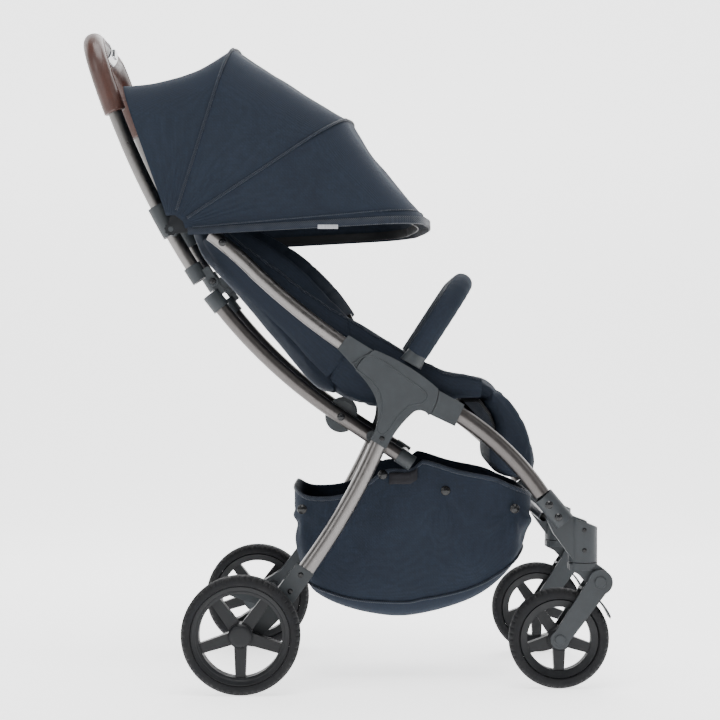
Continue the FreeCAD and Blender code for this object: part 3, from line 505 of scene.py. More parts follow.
def bow_outline(radius, half, start=22, proud=0):
    """(radius, y) points of the U that the canopy makes over one bow, from the right to the left."""
    radius, half = radius + proud, half + proud
    flank = [(start + (radius - CORNER - start) * i / 16, -half) for i in range(16)]
    for i in range(9):
        angle = math.pi / 2 * i / 8
        flank.append((radius - CORNER + CORNER * math.sin(angle), -half + CORNER - CORNER * math.cos(angle)))
    flat_half = half - CORNER
    crown = []
    for i in range(1, 20):
        y = -flat_half + 2 * flat_half * i / 20
        crown.append((radius + CROWN_RISE * (1 - (y / flat_half) ** 2), y))
    return flank + crown + [(r, -y) for r, y in reversed(flank)]


def at_angle(outline, degrees):
    """An outline's points, in its plane turned about the canopy's hinge."""
    angle = math.radians(degrees)
    x, z = CANOPY_PIVOT
    return [Vector((x + r * math.cos(angle), y, z + r * math.sin(angle))) for r, y in outline]


def canopy_gore(name, low, high, node, sag, seed):
    """One gore of the canopy cloth: stretched from bow to bow, sagging and creased between them."""
    a = at_angle(bow_outline(*BOWS[low][1:]), BOWS[low][0])
    b = at_angle(bow_outline(*BOWS[high][1:]), BOWS[high][0])
    count = 22
    hinge = Vector((CANOPY_PIVOT[0], 0, CANOPY_PIVOT[1]))
    rows = []
    for i in range(count + 1):
        u = i / count
        hollow = 4 * u * (1 - u)
        row = []
        for start, end in zip(a, b):
            point = start.lerp(end, u)
            out = Vector((point.x - hinge.x, 0, point.z - hinge.z))
            reach = out.length
            out.normalize()
            over = min(1, max(0, (reach - 150) / 130))
            over = over * over * (3 - 2 * over)
            crown = max(0, 1 - (abs(point.y) / CANOPY_HALF) ** 4)
            pull = sag * hollow * over * (0.35 + 0.65 * crown)
            point = point - out * pull
            flank = math.copysign(1, point.y) * (1 - crown)
            # fan creases from the hinge, deepest near it, and slack clouds over the whole gore
            fan = math.sin(u * 21 + seed) * 2.6 * math.exp(-abs(reach - 95) / 70) * hollow
            slack = crinkle(point, 62, seed) * 3.4 + crinkle(point, 27, seed + 4) * 1.2
            point.y -= flank * (abs(fan) + 2.2 * hollow * over + max(-1.2, slack) * hollow)
            point -= out * (slack * hollow * over * crown)
            row.append(point)
        rows.append(row)
    cloth = piece(name, grid(rows), CLOTH, None, (node,))
    thicken(cloth, 1.3)
    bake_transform(cloth)
    return cloth


def bow_piping(bow):
    """A corded seam that follows one bow over the canopy."""
    degrees, reach, half = BOWS[bow]
    path = dense(at_angle(bow_outline(reach, half, 30, 0.6), degrees), 9)
    piece(f"canopy_piping_{bow}", cord(path, (0, 1, 0.2), 2.1, 10), BINDING, f"canopy_{bow}")


def canopy_binding():
    """Binding tape folded over the brim's edge."""
    degrees, reach, half = BOWS["front"]
    outline = bow_outline(reach, half, 26, 0.9)
    low = at_angle(outline, degrees - 1.7)
    top = at_angle(outline, degrees + 0.4)
    inner = at_angle(bow_outline(reach, half, 26, -2.3), degrees + 0.2)
    inner_low = at_angle(bow_outline(reach, half, 26, -2), degrees - 1.6)
    rows = [[p for p in line] for line in (top, low, inner_low, inner, top)]
    # constant tape width: pull each lower point back to the width that the tape has at the brim
    width = 11
    for j in range(len(top)):
        for row, base in ((rows[1], rows[0]), (rows[2], rows[3])):
            run = row[j] - base[j]
            row[j] = base[j] + run.normalized() * width
    welded(piece("canopy_binding", grid(rows), BINDING, "canopy_front", crisp=50))


def canopy_tag():
    """A small blank tag sewn into the brim's seam, on the right side."""
    first, last = -40, -9
    rows = []
    for z in (704.5, 711):
        row = []
        for i in range(7):
            bulge = 1.2 + 0.5 * math.sin(i / 6 * math.pi)
            row.append((first + (last - first) * i / 6, -CANOPY_HALF - bulge, z))
        rows.append(row)
    tag = piece("canopy_tag", grid(rows), PALE_TAG, "canopy_front")
    thicken(tag, 0.5, 0)


def build_canopy():
    """Three gores between the bows, their two piped seams, and the brim's stitches, binding and tag."""
    gores = (("front", "middle", ("canopy_middle", "canopy_front"), 7, (0.98, 0.21)),
        ("middle", "rear", ("canopy_rear", "canopy_middle"), 3, (0.98, 0.21)),
        ("rear", "back", ("upper_handle", "canopy_rear"), 20, (0.90, 0.20)))
    for seed, (low, high, bodies, sag, flat) in enumerate(gores, 1):
        cloth = canopy_gore(f"canopy_cloth_{low}", low, high, f"canopy_panel_{low}", sag, seed)
    bow_piping("rear")
    bow_piping("middle")
    reach, degrees = BRIM_STITCH
    path = dense(at_angle(bow_outline(reach, CANOPY_HALF + 0.9, 34), degrees), 9)
    piece("canopy_brim_stitch", cord(path, (0, 1, 0.2), 0.9), BINDING, "canopy_front")
    canopy_binding()
    canopy_tag()


# ---------------------------------------------------------------- padded seat

def rounded_outline(outline, radius, per_corner=4):
    """A closed side-view outline with its corners cut to short arcs."""
    result = []
    count = len(outline)
    for i in range(count):
        before, corner, after = (Vector(outline[(i + k) % count]) for k in (-1, 0, 1))
        r = min(radius, 0.45 * (before - corner).length, 0.45 * (after - corner).length)
        start = corner + (before - corner).normalized() * r
        end = corner + (after - corner).normalized() * r
        for k in range(per_corner + 1):
            t = k / per_corner
            result.append(start.lerp(corner, t).lerp(corner.lerp(end, t), t))
    return result


END_START, END_PULL = 0.75, 7


def pad_block(name, outline, half, corner=10, inset=2.5):
    """A crowned block for the simulation: the outline shrunk a little and drawn in at its ends."""
    ring = rounded_outline(outline, corner)
    centre = sum(ring, Vector((0, 0))) / len(ring)
    rows = []
    for k in range(-8, 9):
        share = k / 8
        shrink = inset + END_PULL * (max(0, abs(share) - END_START) / (1 - END_START)) ** 2
        row = []
        for i, p in enumerate(ring):
            before, after = ring[i - 1], ring[(i + 1) % len(ring)]
            normal = Vector((after.y - before.y, before.x - after.x)).normalized()
            if normal.dot(p - centre) < 0:
                normal = -normal
            q = p - normal * shrink
            row.append((q.x, half * share, q.y))
        rows.append(row)
    points, faces = grid(rows, closed=True)
    width = len(ring)
    faces.append(tuple(range(width)))
    faces.append(tuple(len(points) - width + j for j in range(width)))
    return welded(raw_object(name, (points, faces)), 0)


def puffed(obj, cap, voxel=6):
    """Inflates a padded piece with Blender's cloth, holding each point within cap millimetres."""
    remesh = obj.modifiers.new("voxels", "REMESH")
    remesh.mode = "VOXEL"
    remesh.voxel_size = voxel * MM
    apply_modifiers(obj)
    rest = [v.co.copy() for v in obj.data.vertices]
    cloth = obj.modifiers.new("stuffing", "CLOTH")
    cloth.settings.use_pressure = True
    cloth.settings.uniform_pressure_force = 4
    cloth.settings.effector_weights.gravity = 0
    cloth.settings.mass = 0.3
    cloth.point_cache.frame_start = 1
    cloth.point_cache.frame_end = 20
    for number in range(1, 21):
        bpy.context.scene.frame_set(number)
    apply_modifiers(obj)
    bpy.context.scene.frame_set(1)
    for vertex, home in zip(obj.data.vertices, rest):
        move = vertex.co - home
        if move.length > cap * MM:
            vertex.co = home + move.normalized() * cap * MM
    rounder = obj.modifiers.new("round", "SUBSURF")
    rounder.levels = rounder.render_levels = 1
    apply_modifiers(obj)
    return obj


def shaped(obj, move):
    """Moves each point along its normal by move(point, normal), in millimetres."""
    normals = [v.normal.copy() for v in obj.data.vertices]
    places = [v.co.copy() / MM for v in obj.data.vertices]
    for vertex, place, normal in zip(obj.data.vertices, places, normals):
        vertex.co = (place + normal * move(place, normal)) * MM


def groove(distance, width, depth):
    return -depth * math.exp(-(distance / width) ** 2)


def along_line(point, line):
    """How far along a side-view line of points a place lies, in millimetres."""
    best, travelled, place = 1e9, 0, 0
    p = Vector((point.x, point.z))
    for a, b in zip(line, line[1:]):
        a, b = Vector(a), Vector(b)
        run = b - a
        t = min(1, max(0, (p - a).dot(run) / run.length_squared))
        distance = (a + run * t - p).length
        if distance < best:
            best, place = distance, travelled + t * run.length
        travelled += run.length
    return place


def quilted(obj, line, pitch):
    """Sewn channels across the pad, a stitched border and slack creases between them."""
    def move(point, normal):
        across = abs((along_line(point, line) + 0.5 * pitch) % pitch - 0.5 * pitch)
        border = abs(point.y) - (SEAT_HALF - BORDER)
        inside = border < 0
        face = min(1, abs(normal.x) + abs(normal.z)) ** 4
        sewn = groove(across, 3, 3.4) * inside + groove(abs(border), 2.6, 2.6)
        gathers = math.cos(point.y / 7.5 + 2.4 * math.sin(point.y / 31)) * 0.55
        tension = gathers * math.exp(-(across / 9) ** 2) * inside
        front = normal.x + normal.z > 0
        return (sewn + tension) * face * front + crinkle(point, 34, 5) * 0.9
    shaped(obj, move)


SEAT_HALF, BORDER, PAD_CAP = 138, 26, 6
BACK_LINE = ((-10, 470), (-60, 528), (-112, 590), (-178, 665), (-234, 734))
SEAT_LINE = ((12, 474), (60, 490), (146, 485), (212, 472))
LEG_LINE = ((216, 466), (252, 440), (280, 394), (296, 342), (300, 322))


def padded_piece(name, outline, line, pitch, body, node):
    """A stuffed and quilted part of the seat."""
    pad = puffed(pad_block(name, outline, SEAT_HALF), PAD_CAP)
    quilted(pad, line, pitch)
    finish_mesh(pad, CLOTH_DARK, (node,))
    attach(pad, body)


def build_pads():
    """The backrest, seat and leg rest pads, and the plain lining under the leg rest."""
    back = [(-2, 480), (-62, 545), (-124, 612), (-190, 690), (-222, 742), (-246, 726), (-222, 668),
        (-168, 612), (-100, 530), (-40, 460), (-6, 442)]
    padded_piece("backrest_pad", back, BACK_LINE, 46, "seat_back", "backrest")
    seat = [(10, 470), (60, 492), (146, 486), (214, 474), (205, 448), (120, 446), (40, 434), (12, 440)]
    padded_piece("seat_pad", seat, SEAT_LINE, 46, "rear_frame", "seat_base")
    leg = arc3((222, 473), (254, 444), (283, 398), 5) + [(294, 364), (301, 320), (258, 313),
        (234, 334), (229, 364), (240, 400), (231, 424), (214, 446)]
    padded_piece("leg_rest_pad", leg, LEG_LINE, 40, "leg_rest", "leg_rest")
    under = [(174, 447), (214, 446), (231, 424), (240, 400), (234, 380), (206, 404), (180, 430)]
    lining = pad_block("leg_rest_lining", under, 126, 6, 0.5)
    finish_mesh(lining, STRAP, crisp=45)
    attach(lining, "leg_rest")


RAIL_TOP = [(10, 521.5), (-25, 545.5)] + arc3(*RAIL_ARC, 8) + [(-205, 699)]
HEM_HIGH = [(6, 568), (-24, 585), (-52, 604), (-84, 628), (-114, 650), (-146, 674), (-176, 698), (-214, 730)]
FACE_HIGH = [(0, 486), (-58, 547), (-120, 614), (-186, 690), (-218, 738)]
BACK_HIGH = [(-26, 476), (-57, 508), (-86, 541), (-148, 600), (-190, 642), (-222, 690)]
HUB_TOP = [(212, 450), (186, 452), (160, 456), (130, 470), (104, 486), (76, 500), (44, 512), (10, 521.5)]
HEM_LOW = [(213, 473), (190, 479), (168, 482.5), (148, 488), (118, 502), (87, 519), (45, 545), (6, 568)]
FACE_LOW = [(210, 473), (186, 478), (164, 482), (146, 485), (110, 488), (70, 490), (40, 486), (0, 486)]
BACK_LOW = [(208, 446), (186, 446), (160, 444), (130, 443), (100, 441), (60, 440), (20, 443), (-26, 476)]


def smooth_line(points, count):
    """A Catmull-Rom line through side-view points."""
    points = [Vector(p) for p in points]
    padded_points = [2 * points[0] - points[1], *points, 2 * points[-1] - points[-2]]
    result = []
    for i in range(count + 1):
        t = i / count * (len(points) - 1)
        k = min(int(t), len(points) - 2)
        f = t - k
        a, b, c, d = padded_points[k:k + 4]
        bend = 2 * a - 5 * b + 4 * c - d
        twist = 3 * b - a - 3 * c + d
        result.append(0.5 * (2 * b + (c - a) * f + bend * f * f + twist * f ** 3))
    return result


# kind, lines of the wing, rows, bolster heights, flat size, area in square metres, what it rests on
WINGS = (
    ("upper", (RAIL_TOP, HEM_HIGH, FACE_HIGH, BACK_HIGH), 30, (6, 22, 17), (0.43, 0.20), 0.043, "seat_rail"),
    ("lower", (HUB_TOP, HEM_LOW, FACE_LOW, BACK_LOW), 26, (3, 6, 0), (0.34, 0.19), 0.032, "hub_cover"))
HEM_STATIONS = (5, 6)
AT_FRAME = 155
# name, side-view outline, the body it blends to, and the blend's start and end in metres
CREASES = (
    ("seat_crease_pad", [(-40, 506), (-36, 472), (2, 448), (30, 438), (58, 438), (62, 484), (24, 482),
        (2, 490)], "seat_rails", (0.045, 0, 0.462), (-0.020, 0, 0.480)),
    ("knee_crease_pad", [(186, 478), (212, 476), (232, 466), (246, 452), (234, 434), (214, 446),
        (190, 448)], "leg_rest", (0.203, 0, 0.464), (0.232, 0, 0.452)))


def wing_rows(low, hem, face, back, side, count, bolster_heights):
    """Rows from the pad's back edge up to a stitched hem, over a bolster and down to the pad's face."""
    first, last, swell = bolster_heights
    rows = []
    lines = [smooth_line(line, count) for line in (low, hem, face, back)]
    for i, (a, top, c, d) in enumerate(zip(*lines)):
        u = i / count
        out = (top - a).normalized()
        bolster = top + out * (first + (last - first) * u + swell * math.sin(math.pi * u))
        stations = ((d, 140.5), (d.lerp(a, 0.35), 149.5), (d.lerp(a, 0.7), 158), (a, 162.8),
            (a.lerp(top, 0.5), 160.8), (top, 154), (top + out * 1.5, 150.5),
            (top.lerp(bolster, 0.75), 141), (bolster, 130), (bolster.lerp(c, 0.35), 118),
            (c + (bolster - c) * 0.12, 104))
        row = []
        for j, (p, y) in enumerate(stations):
            place = (p.x, y, p.y)
            slack = crinkle(place, 26, 7) * 2.6 + crinkle(place, 11, 8) * 0.8
            ripple = slack * math.sin(j / (len(stations) - 1) * math.pi)
            aside = 0.4 * ripple if y < AT_FRAME else -abs(0.5 * ripple)
            row.append((p.x + out.x * ripple, side * (y + aside), p.y + out.y * ripple))
        rows.append(row)
    return rows


def stitch_section(share, angle):
    """A hem's thread, thicker at each stitch."""
    return 0.9 + 0.25 * math.cos(share * 1300)


def build_wings():
    """The seat's side cloth: an upper wing on each rail and a lower one inside the hub; and two creases."""
    for name, side in SIDES:
        for kind, lines, count, bolster_heights, flat, area, rests in WINGS:
            rows = wing_rows(*lines, side, count, bolster_heights)
            wing = piece(f"seat_wing_{kind}_{name}", grid(rows), CLOTH_DARK, None)
            thicken(wing, 1.6)
            seams = []
            for station in HEM_STATIONS:
                line = [Vector(row[station]) + Vector((0, side * 0.9, 0)) for row in rows]
                seams.append(tube_mesh(dense(line, 6), (0, 1, 0), stitch_section, 8))
            hem_cord = piece(f"seat_wing_hem_{kind}_{name}", joined(*seams), BINDING, None)
            for obj in (wing, hem_cord):
                if kind == "upper":
                    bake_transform(obj)
                else:
                    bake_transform(obj)
    for name, outline, body, start, end in CREASES:
        crease = puffed(pad_block(name, outline, 133, 12, 0.6), 4)
        shaped(crease, lambda p, n: crinkle(p, 24, 9) * 1.6)
        finish_mesh(crease, CLOTH_DARK)
        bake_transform(crease)


# ---------------------------------------------------------------- harness

def build_harness():
    """Padded shoulder straps with webbing tails, waist straps and a round crotch buckle."""
    meshes = []
    line = smooth_line([(-200, 709), (-165, 710), (-121, 691), (-72, 659.5), (-24, 613), (6, 572.5)], 40)
    for side in (-1, 1):
        path = [Vector((p.x, side * 50, p.y)) for p in line]

        def section(s, t):
            quilt = 1 - 0.16 * math.exp(-((s * 5 + 0.5) % 1 - 0.5) ** 2 / 0.004)
            return flat_section(44, 11.5 * quilt, 3)(s, t)
        meshes.append(tube_mesh(dense(path, 3), (0.37, -side * 0.82, 0.44), section, 28))
    pads = piece("shoulder_pads", joined(*meshes), CLOTH_DARK, "seat_back", ("shoulder_straps",))
    tails = []
    for side in (-1, 1):
        low = [(4, side * 50, 575), (10, side * 49, 562), (17, side * 46, 540), (27, side * 40, 518),
            (40, side * 32, 503), (56, side * 24, 500)]
        tails.append(tube_mesh(dense(low, 4), (0, 1, 0), flat_section(24, 2.4), 16))
    straps = piece("shoulder_webbing", joined(*tails), STRAP, "seat_back")
    adjusters = []
    for side in (-1, 1):
        start = Vector((6, side * 50, 577))
        path = [start, start + Vector((4, 0, -8)), start + Vector((7, 0, -15))]
        adjusters.append(tube_mesh(path, (0, 1, 0), flat_section(34, 8.5, 6), 24))
    piece("shoulder_adjusters", joined(*adjusters), BLACK, "seat_back", crisp=40)
    # crotch strap, buckle shell and its round button
    strap = dense([(92, 0, 488), (84, 0, 496), (78, 0, 506), (74, 0, 514)], 3)
    piece("crotch_webbing", tube_mesh(strap, (0, 1, 0), flat_section(26, 2.6), 16), STRAP, "rear_frame")
    rows = []
    for r, out in ((0.1, 8), (12, 7.6), (15, 6.6), (16.2, 5), (17, 4.9), (19.5, 5.4), (23, 4.2),
            (25, 0.5), (24, -4.6), (20, -7.4), (0.1, -8)):
        row = []
        for k in range(40):
            angle = 2 * math.pi * k / 40
            row.append((70 + out, r * math.cos(angle), 515.5 + 0.86 * r * math.sin(angle)))
        rows.append(row)
    piece("harness_buckle", grid(rows, closed=True), BLACK, "rear_frame", ("crotch_buckle",),
        crisp=45)
    waist = []
    for side in (-1, 1):
        run = [(68, side * 22, 512), (58, side * 50, 500), (46, side * 84, 494.5), (34, side * 118, 494)]
        waist.append(tube_mesh(dense(run, 6), (0.3, 0, 1), flat_section(25, 2.4), 16))
    piece("waist_webbing", joined(*waist), STRAP, "rear_frame")


# ---------------------------------------------------------------- basket

BASKET_RIM = ((-82, 305), (-56, 291), (-4, 294), (36, 314), (66, 333), (106, 335), (120, 348),
    (141, 344), (180, 332), (234, 321), (260, 310), (288, 299), (298, 293))
BASKET_FLOOR = ((-78, 190), (-62, 142), (-34, 124), (34, 103), (106, 98), (200, 124), (262, 168),
    (294, 216))
BAG_MIDDLE, BAG_REACH, BAG_HALF = 108, 190, 134
SEAM_DROP = 0.5
SNAPS = ((-66, 272), (60, 326), (158, 301), (266, 273))
SNAP_PROFILE = ((0.05, 3), (3, 2.9), (4.6, 2.2), (5.2, 1.2), (7, 1), (7.6, 0), (7, -1))
TABLE_STEPS = 200
# powers below 1 that square off the rim, round the wall and taper the floor
RIM_POWER, WALL_POWER, FLOOR_POWER = 0.28, 0.36, 0.22


def height_on(line, x):
    points = smooth_line(line, 80)
    for a, b in zip(points, points[1:]):
        if a.x <= x <= b.x:
            return a.y + (b.y - a.y) * (x - a.x) / max(1e-6, b.x - a.x)
    return points[0].y if x < points[0].x else points[-1].y


def height_table(line):
    """A line's heights at even steps along the bag."""
    places = [BAG_MIDDLE + BAG_REACH * (2 * i / TABLE_STEPS - 1) for i in range(TABLE_STEPS + 1)]
    return [height_on(line, x) for x in places]


RIM_HEIGHTS = height_table(BASKET_RIM)
FLOOR_HEIGHTS = height_table(BASKET_FLOOR)


def looked_up(table, x):
    t = ((x - BAG_MIDDLE) / BAG_REACH + 1) * TABLE_STEPS / 2
    t = min(TABLE_STEPS - 0.001, max(0, t))
    k = int(t)
    return table[k] + (table[k + 1] - table[k]) * (t - k)


def basket_point(turn, drop):
    """A place on the bag: turn goes round the rim and drop from the rim, 0, to the floor's middle, 1."""
    c, s = math.cos(turn), math.sin(turn)
    rim_x = BAG_MIDDLE + BAG_REACH * math.copysign(abs(c) ** RIM_POWER, c)
    rim_y = BAG_HALF * math.copysign(abs(s) ** RIM_POWER, s)
    tau = drop * math.pi / 2
    x = BAG_MIDDLE + (rim_x - BAG_MIDDLE) * math.cos(tau) ** FLOOR_POWER
    y = rim_y * math.cos(tau) ** RIM_POWER
    top = looked_up(RIM_HEIGHTS, rim_x)
    z = top + (looked_up(FLOOR_HEIGHTS, x) - top) * math.sin(tau) ** WALL_POWER
    return Vector((x, y, z))


def rim_turns():
    """The turns of one lap of the rim, spaced about evenly along it."""
    power = 1 / RIM_POWER
    quarter = [math.asin((i / 18) ** power) for i in range(16)] + [math.radians(40)]
    quarter += [math.acos((i / 28) ** power) for i in range(25, -1, -1)]
    half = quarter + [math.pi - turn for turn in reversed(quarter[:-1])]
    return half[:-1] + [turn + math.pi for turn in half[:-1]]


def bag_drops():
    """Drops from the rim to the floor's middle, spaced about evenly down the wall and over the floor."""
    wall = [2 / math.pi * math.asin((0.93 * i / 28) ** (1 / WALL_POWER)) for i in range(29)]
    return wall + [wall[-1] + (0.992 - wall[-1]) * i / 14 for i in range(1, 15)]


def bag_folds(p):
    """How far the cloth stands out: pleats that fall from the rim and rays round each snap."""
    pleats = 8 * math.cos((p.x - 150) / 6.5)
    lift = pleats * math.exp(-((p.x - 158) / 42) ** 2) * math.exp(-abs(p.z - 318) / 42)
    for x, z in SNAPS:
        dx, dz = p.x - x, p.z - z
        reach = math.hypot(dx, dz)
        below = 0.5 - 0.5 * dz / max(reach, 1)
        rays = 7 * math.cos(7 * math.atan2(dx, -dz)) * math.exp(-abs(reach - 26) / 24)
        dimple = 2.4 * math.exp(-(reach / 11) ** 2)
        lift += (rays - dimple) * below
    return lift


def outwards(p):
    """The level direction that the bag's wall faces at a place."""
    out = Vector((p.x - BAG_MIDDLE, p.y * 1.3, 0))
    return out.normalized() if out.length > 1 else Vector((0, 0, 0))


def build_basket():
    """A sewn bag: a lofted shell that bellies between its seams, with hem, snaps and blank label."""
    rows = []
    turns = rim_turns()
    around = len(turns)
    for drop in bag_drops():
        row = []
        for turn in turns:
            p = basket_point(turn, drop)
            wall = math.sin(min(1, drop / SEAM_DROP) * math.pi)
            waves = math.sin(turn * 9 + 3 * math.sin(turn * 2)) * 1.6 * wall
            folds = bag_folds(p) * min(1, drop * 12) * (drop < SEAM_DROP)
            slack = (crinkle(p, 58, 11) * 4.2 + crinkle(p, 24, 12) * 1.3) * wall
            p = p + outwards(p) * (waves + folds + slack - 1.6)
            p.z = max(p.z, looked_up(FLOOR_HEIGHTS, p.x) + 0.5)
            row.append(p)
        rows.append(row)
    points, faces = grid(rows, closed=True)
    faces.append(tuple(len(points) - around + j for j in range(around)))
    bag = piece("basket_bag", (points, faces), CLOTH_BAG, None, ("basket",))
    thicken(bag, 1.6)
    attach(bag, "rear_frame")
    rim = [basket_point(turn, 0) for turn in turns + turns[:1]]
    tape_rows = []
    for k in range(9):
        t = 2 * math.pi * k / 8
        lift = Vector((0, 0, -2.2 + 3.6 * math.sin(t)))
        tape_rows.append([p + outwards(p) * (-1.6 + 1.7 * math.cos(t)) + lift for p in rim])
    hem = piece("basket_hem", grid(tape_rows), BINDING, None)
    welded(hem)
    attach(hem, "rear_frame")
    seam, studs, label = [], [], []
    for side in (-1, 1):
        line = [basket_point(side * turn, SEAM_DROP) for turn in turns[4:around // 2 - 3]]
        seam.append(cord(line, (0, 0, 1), 1.9))
    piping = piece("basket_piping", joined(*seam), BINDING, "rear_frame")
    for x, z in SNAPS:
        for side in (-1, 1):
            stud = [(r, side * y) for r, y in SNAP_PROFILE]
            studs.append(lathe(stud, (x, side * (BAG_HALF - 0.5), z), 24))
    snaps = welded(piece("basket_snaps", joined(*studs), BLACK, "rear_frame"))
    for j in range(5):
        x = 70 + 44 * j / 4
        y = -BAG_HALF - 2.2 - 0.6 * math.sin(math.pi * j / 4)
        label.append([(x, y, looked_up(RIM_HEIGHTS, x) - 5 - 18 * k / 3) for k in range(4)])
    tag = piece("basket_label", grid(label), BLANK_TAG, "rear_frame")
    thicken(tag, 0.8, 0)
    for obj in (bag, hem, snaps, tag, piping):
        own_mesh(obj)


# ---------------------------------------------------------------- bumper bar and grip

def bent_bar(foot, rise, lead, bend, straight_step=6, stop_y=None):
    """From a foot up to a bend and over to y = 0 or stop_y, as points on the left side."""
    foot, rise = Vector(foot), Vector(rise).normalized()
    inward = Vector((0, -1, 0))
    top = foot + rise * lead
    points = [foot, top]
    for i in range(1, 13):
        angle = math.pi / 2 * i / 12
        points.append(top + inward * bend * (1 - math.cos(angle)) + rise * bend * math.sin(angle))
    points.append(Vector((points[-1].x, stop_y or 0, points[-1].z)))
    return dense(points, straight_step)


def build_bumper():
    """The bumper bar's padded sleeve, which leaves its foot bare, and the seam along its inside."""
    tilt, foot, reach, bend = math.radians(57), 4, 143, 62
    rise = (math.cos(tilt), 0, math.sin(tilt))
    up = (rise[2], 0, -rise[0])
    left = bent_bar(Vector((106, 176, 505)) + Vector(rise) * foot, rise, reach - bend - foot, bend, 4)
    path = left + [Vector((p.x, -p.y, p.z)) for p in reversed(left[:-1])]

    def section(share, angle):
        ends = min(share, 1 - share) * len(path) * 4
        shoulder = min(1, ends / 9)
        radius = 12.5 + 3.9 * math.sin(shoulder * math.pi / 2)
        creases = 0.28 * math.sin(share * 210) * max(0, math.cos(angle - 0.6))
        bend = math.exp(-((min(share, 1 - share) - 0.25) / 0.1) ** 2)
        creases += 0.5 * bend * math.sin(share * 330) * max(0, -math.cos(angle))
        return radius + creases + 0.35 * math.sin(3 * angle + share * 9)

    sleeve = piece("bumper_sleeve", tube_mesh(path, up, section, 30), CLOTH_DARK, "bumper_bar",
        ("bumper_bar_sleeve",))
    rounder = sleeve.modifiers.new("round", "SUBSURF")
    rounder.levels = rounder.render_levels = 1
    apply_modifiers(sleeve)
    seam = [point - side * 16.6 for point, _, side, _ in framed(path, up)][2:-2]
    piece("bumper_seam", cord(seam, (0, 0, 1), 1.1), BINDING, "bumper_bar")


def handle_line(first):
    side = [Vector((x, 150, z)) for x, z in arc3(*HANDLE_ARC, 40, first, 1)]
    rise = (side[-1] - side[-2]).normalized()
    return side[:-1] + bent_bar(side[-1], rise, 0.01, 58, 5, 37)


STITCH_FACES = [(i, (i + 1) % 4, 4) for i in range(4)] + [((i + 1) % 4, i, 5) for i in range(4)]


def build_grip():
    """The leather grip, and the stitched seam along its inside."""
    left = dense(handle_line(0.82), 4)
    right = [Vector((p.x, -p.y, p.z)) for p in left]
    up = (-1, 0, 0)
    meshes, stitches, welts = [], [], []
    for path in (left, right):
        def section(share, angle):
            lip = min(1, share * len(path) * 4 / 3.5, (1 - share) * len(path) * 4 / 3.5)
            return 15.2 + 1.4 * math.sin(lip * math.pi / 2) + 0.18 * crinkle((share * 40, angle * 3, 0), 2)
        meshes.append(tube_mesh(path, up, section, 36))
        stations = framed(path, up)
        welts.append(cord([p - side * 16.7 for p, _, side, _ in stations][1:-1], (0, 1, 0), 0.8))
        for p, tangent, side, other in stations[2:-2]:
            for sign in (-1, 1):
                out = (side * -1 + other * sign * 0.22).normalized()
                centre = p + out * 16.75
                half = tangent * 1.25
                width = other * 0.55
                lift = out * 0.55
                ring = [centre - half, centre + width, centre + half, centre - width]
                ends = [centre + lift, centre - lift]
                stitches.append(([q + lift * 0.2 for q in ring] + ends, STITCH_FACES))
    piece("grip_leather", joined(*meshes), LEATHER, "upper_handle", ("handlebar_grip",))
    piece("grip_seam", joined(*welts), LEATHER, "upper_handle")
    piece("grip_stitches", joined(*stitches), THREAD, "upper_handle")


# ---------------------------------------------------------------- wheels and fittings

def tyre(name, centre, radius, rim, width, node, body, notches):
    """A foam tyre with a shallow tread: notched shoulders and two grooves round the crown."""
    half = width / 2
    shoulder = radius - 5.5
    profile = [(rim + 0.1, -half + 3), (rim + 1.2, -half + 0.9), (rim + 3, -half),
        (shoulder - 4, -half), (shoulder - 2, -half), (shoulder + 1.2, -half + 1),
        (radius - 2.2, -half + 3.4), (radius - 0.7, -half + 6), (radius, -half + 9),
        (radius - 0.05, -4.2), (radius - 1, -3.4), (radius - 1, -2.6), (radius - 0.05, -1.8)]
    profile = profile + [(r, -y) for r, y in reversed(profile)]
    around = notches * 6
    rows = []
    for j in range(around + 1):
        angle = 2 * math.pi * (j % around) / around
        cut = 1 if (j % 6) in (0, 1) else 0
        row = []
        for r, y in profile:
            edge = 1 if radius - 5 < r < radius - 0.02 and abs(y) > half - 7 else 0
            deep = r - 1.5 * cut * edge
            row.append((centre[0] + deep * math.cos(angle), centre[1] + y,
                centre[2] + deep * math.sin(angle)))
        rows.append(row)
    obj = piece(name, grid(rows, closed=True), RUBBER, None, (node,), crisp=32)
    welded(obj)
    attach(obj, body)


def wheel_trim(name, centre, side, half, cap, rim, body):
    """The cap, and the lip and the band that the rim shows at its edge."""
    rings = ((64, ((cap - 3, -2.1), (cap - 2.4, -0.7), (cap - 4.5, 0), (cap - 8, 0.1), (0.05, 0.1))),
        (96, ((rim - 2.2, -3.6), (rim - 1.4, -2.5), (rim - 0.2, -2.6), (rim - 0.1, -4.4))),
        (96, ((rim - 9, -5.2), (rim - 8, -4.3), (rim - 6.8, -4.4))))
    made = [lathe([(r, side * (half + y)) for r, y in ring], centre, around) for around, ring in rings]
    obj = piece(f"{name}_cap", joined(*made), RIM, None, crisp=35)
    welded(obj)
    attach(obj, body)


def build_wheels():
    """The treads of the four wheels and the trim of the rear ones."""
    for name, side in SIDES:
        rear = (REAR_AXLE[0], side * 222, REAR_AXLE[1])
        tyre(f"rear_tread_{name}", rear, 90, 75, 36, f"rear_tyre_{name}", f"rear_wheel_{name}", 60)
        wheel_trim(f"rear_wheel_{name}", rear, side, 18, 18.5, 75, f"rear_wheel_{name}")
        front = (FRONT_AXLE[0], side * 168, FRONT_AXLE[1])
        tyre(f"front_tread_{name}", front, 77, 61, 30, f"front_tyre_{name}", f"front_wheel_{name}", 52)


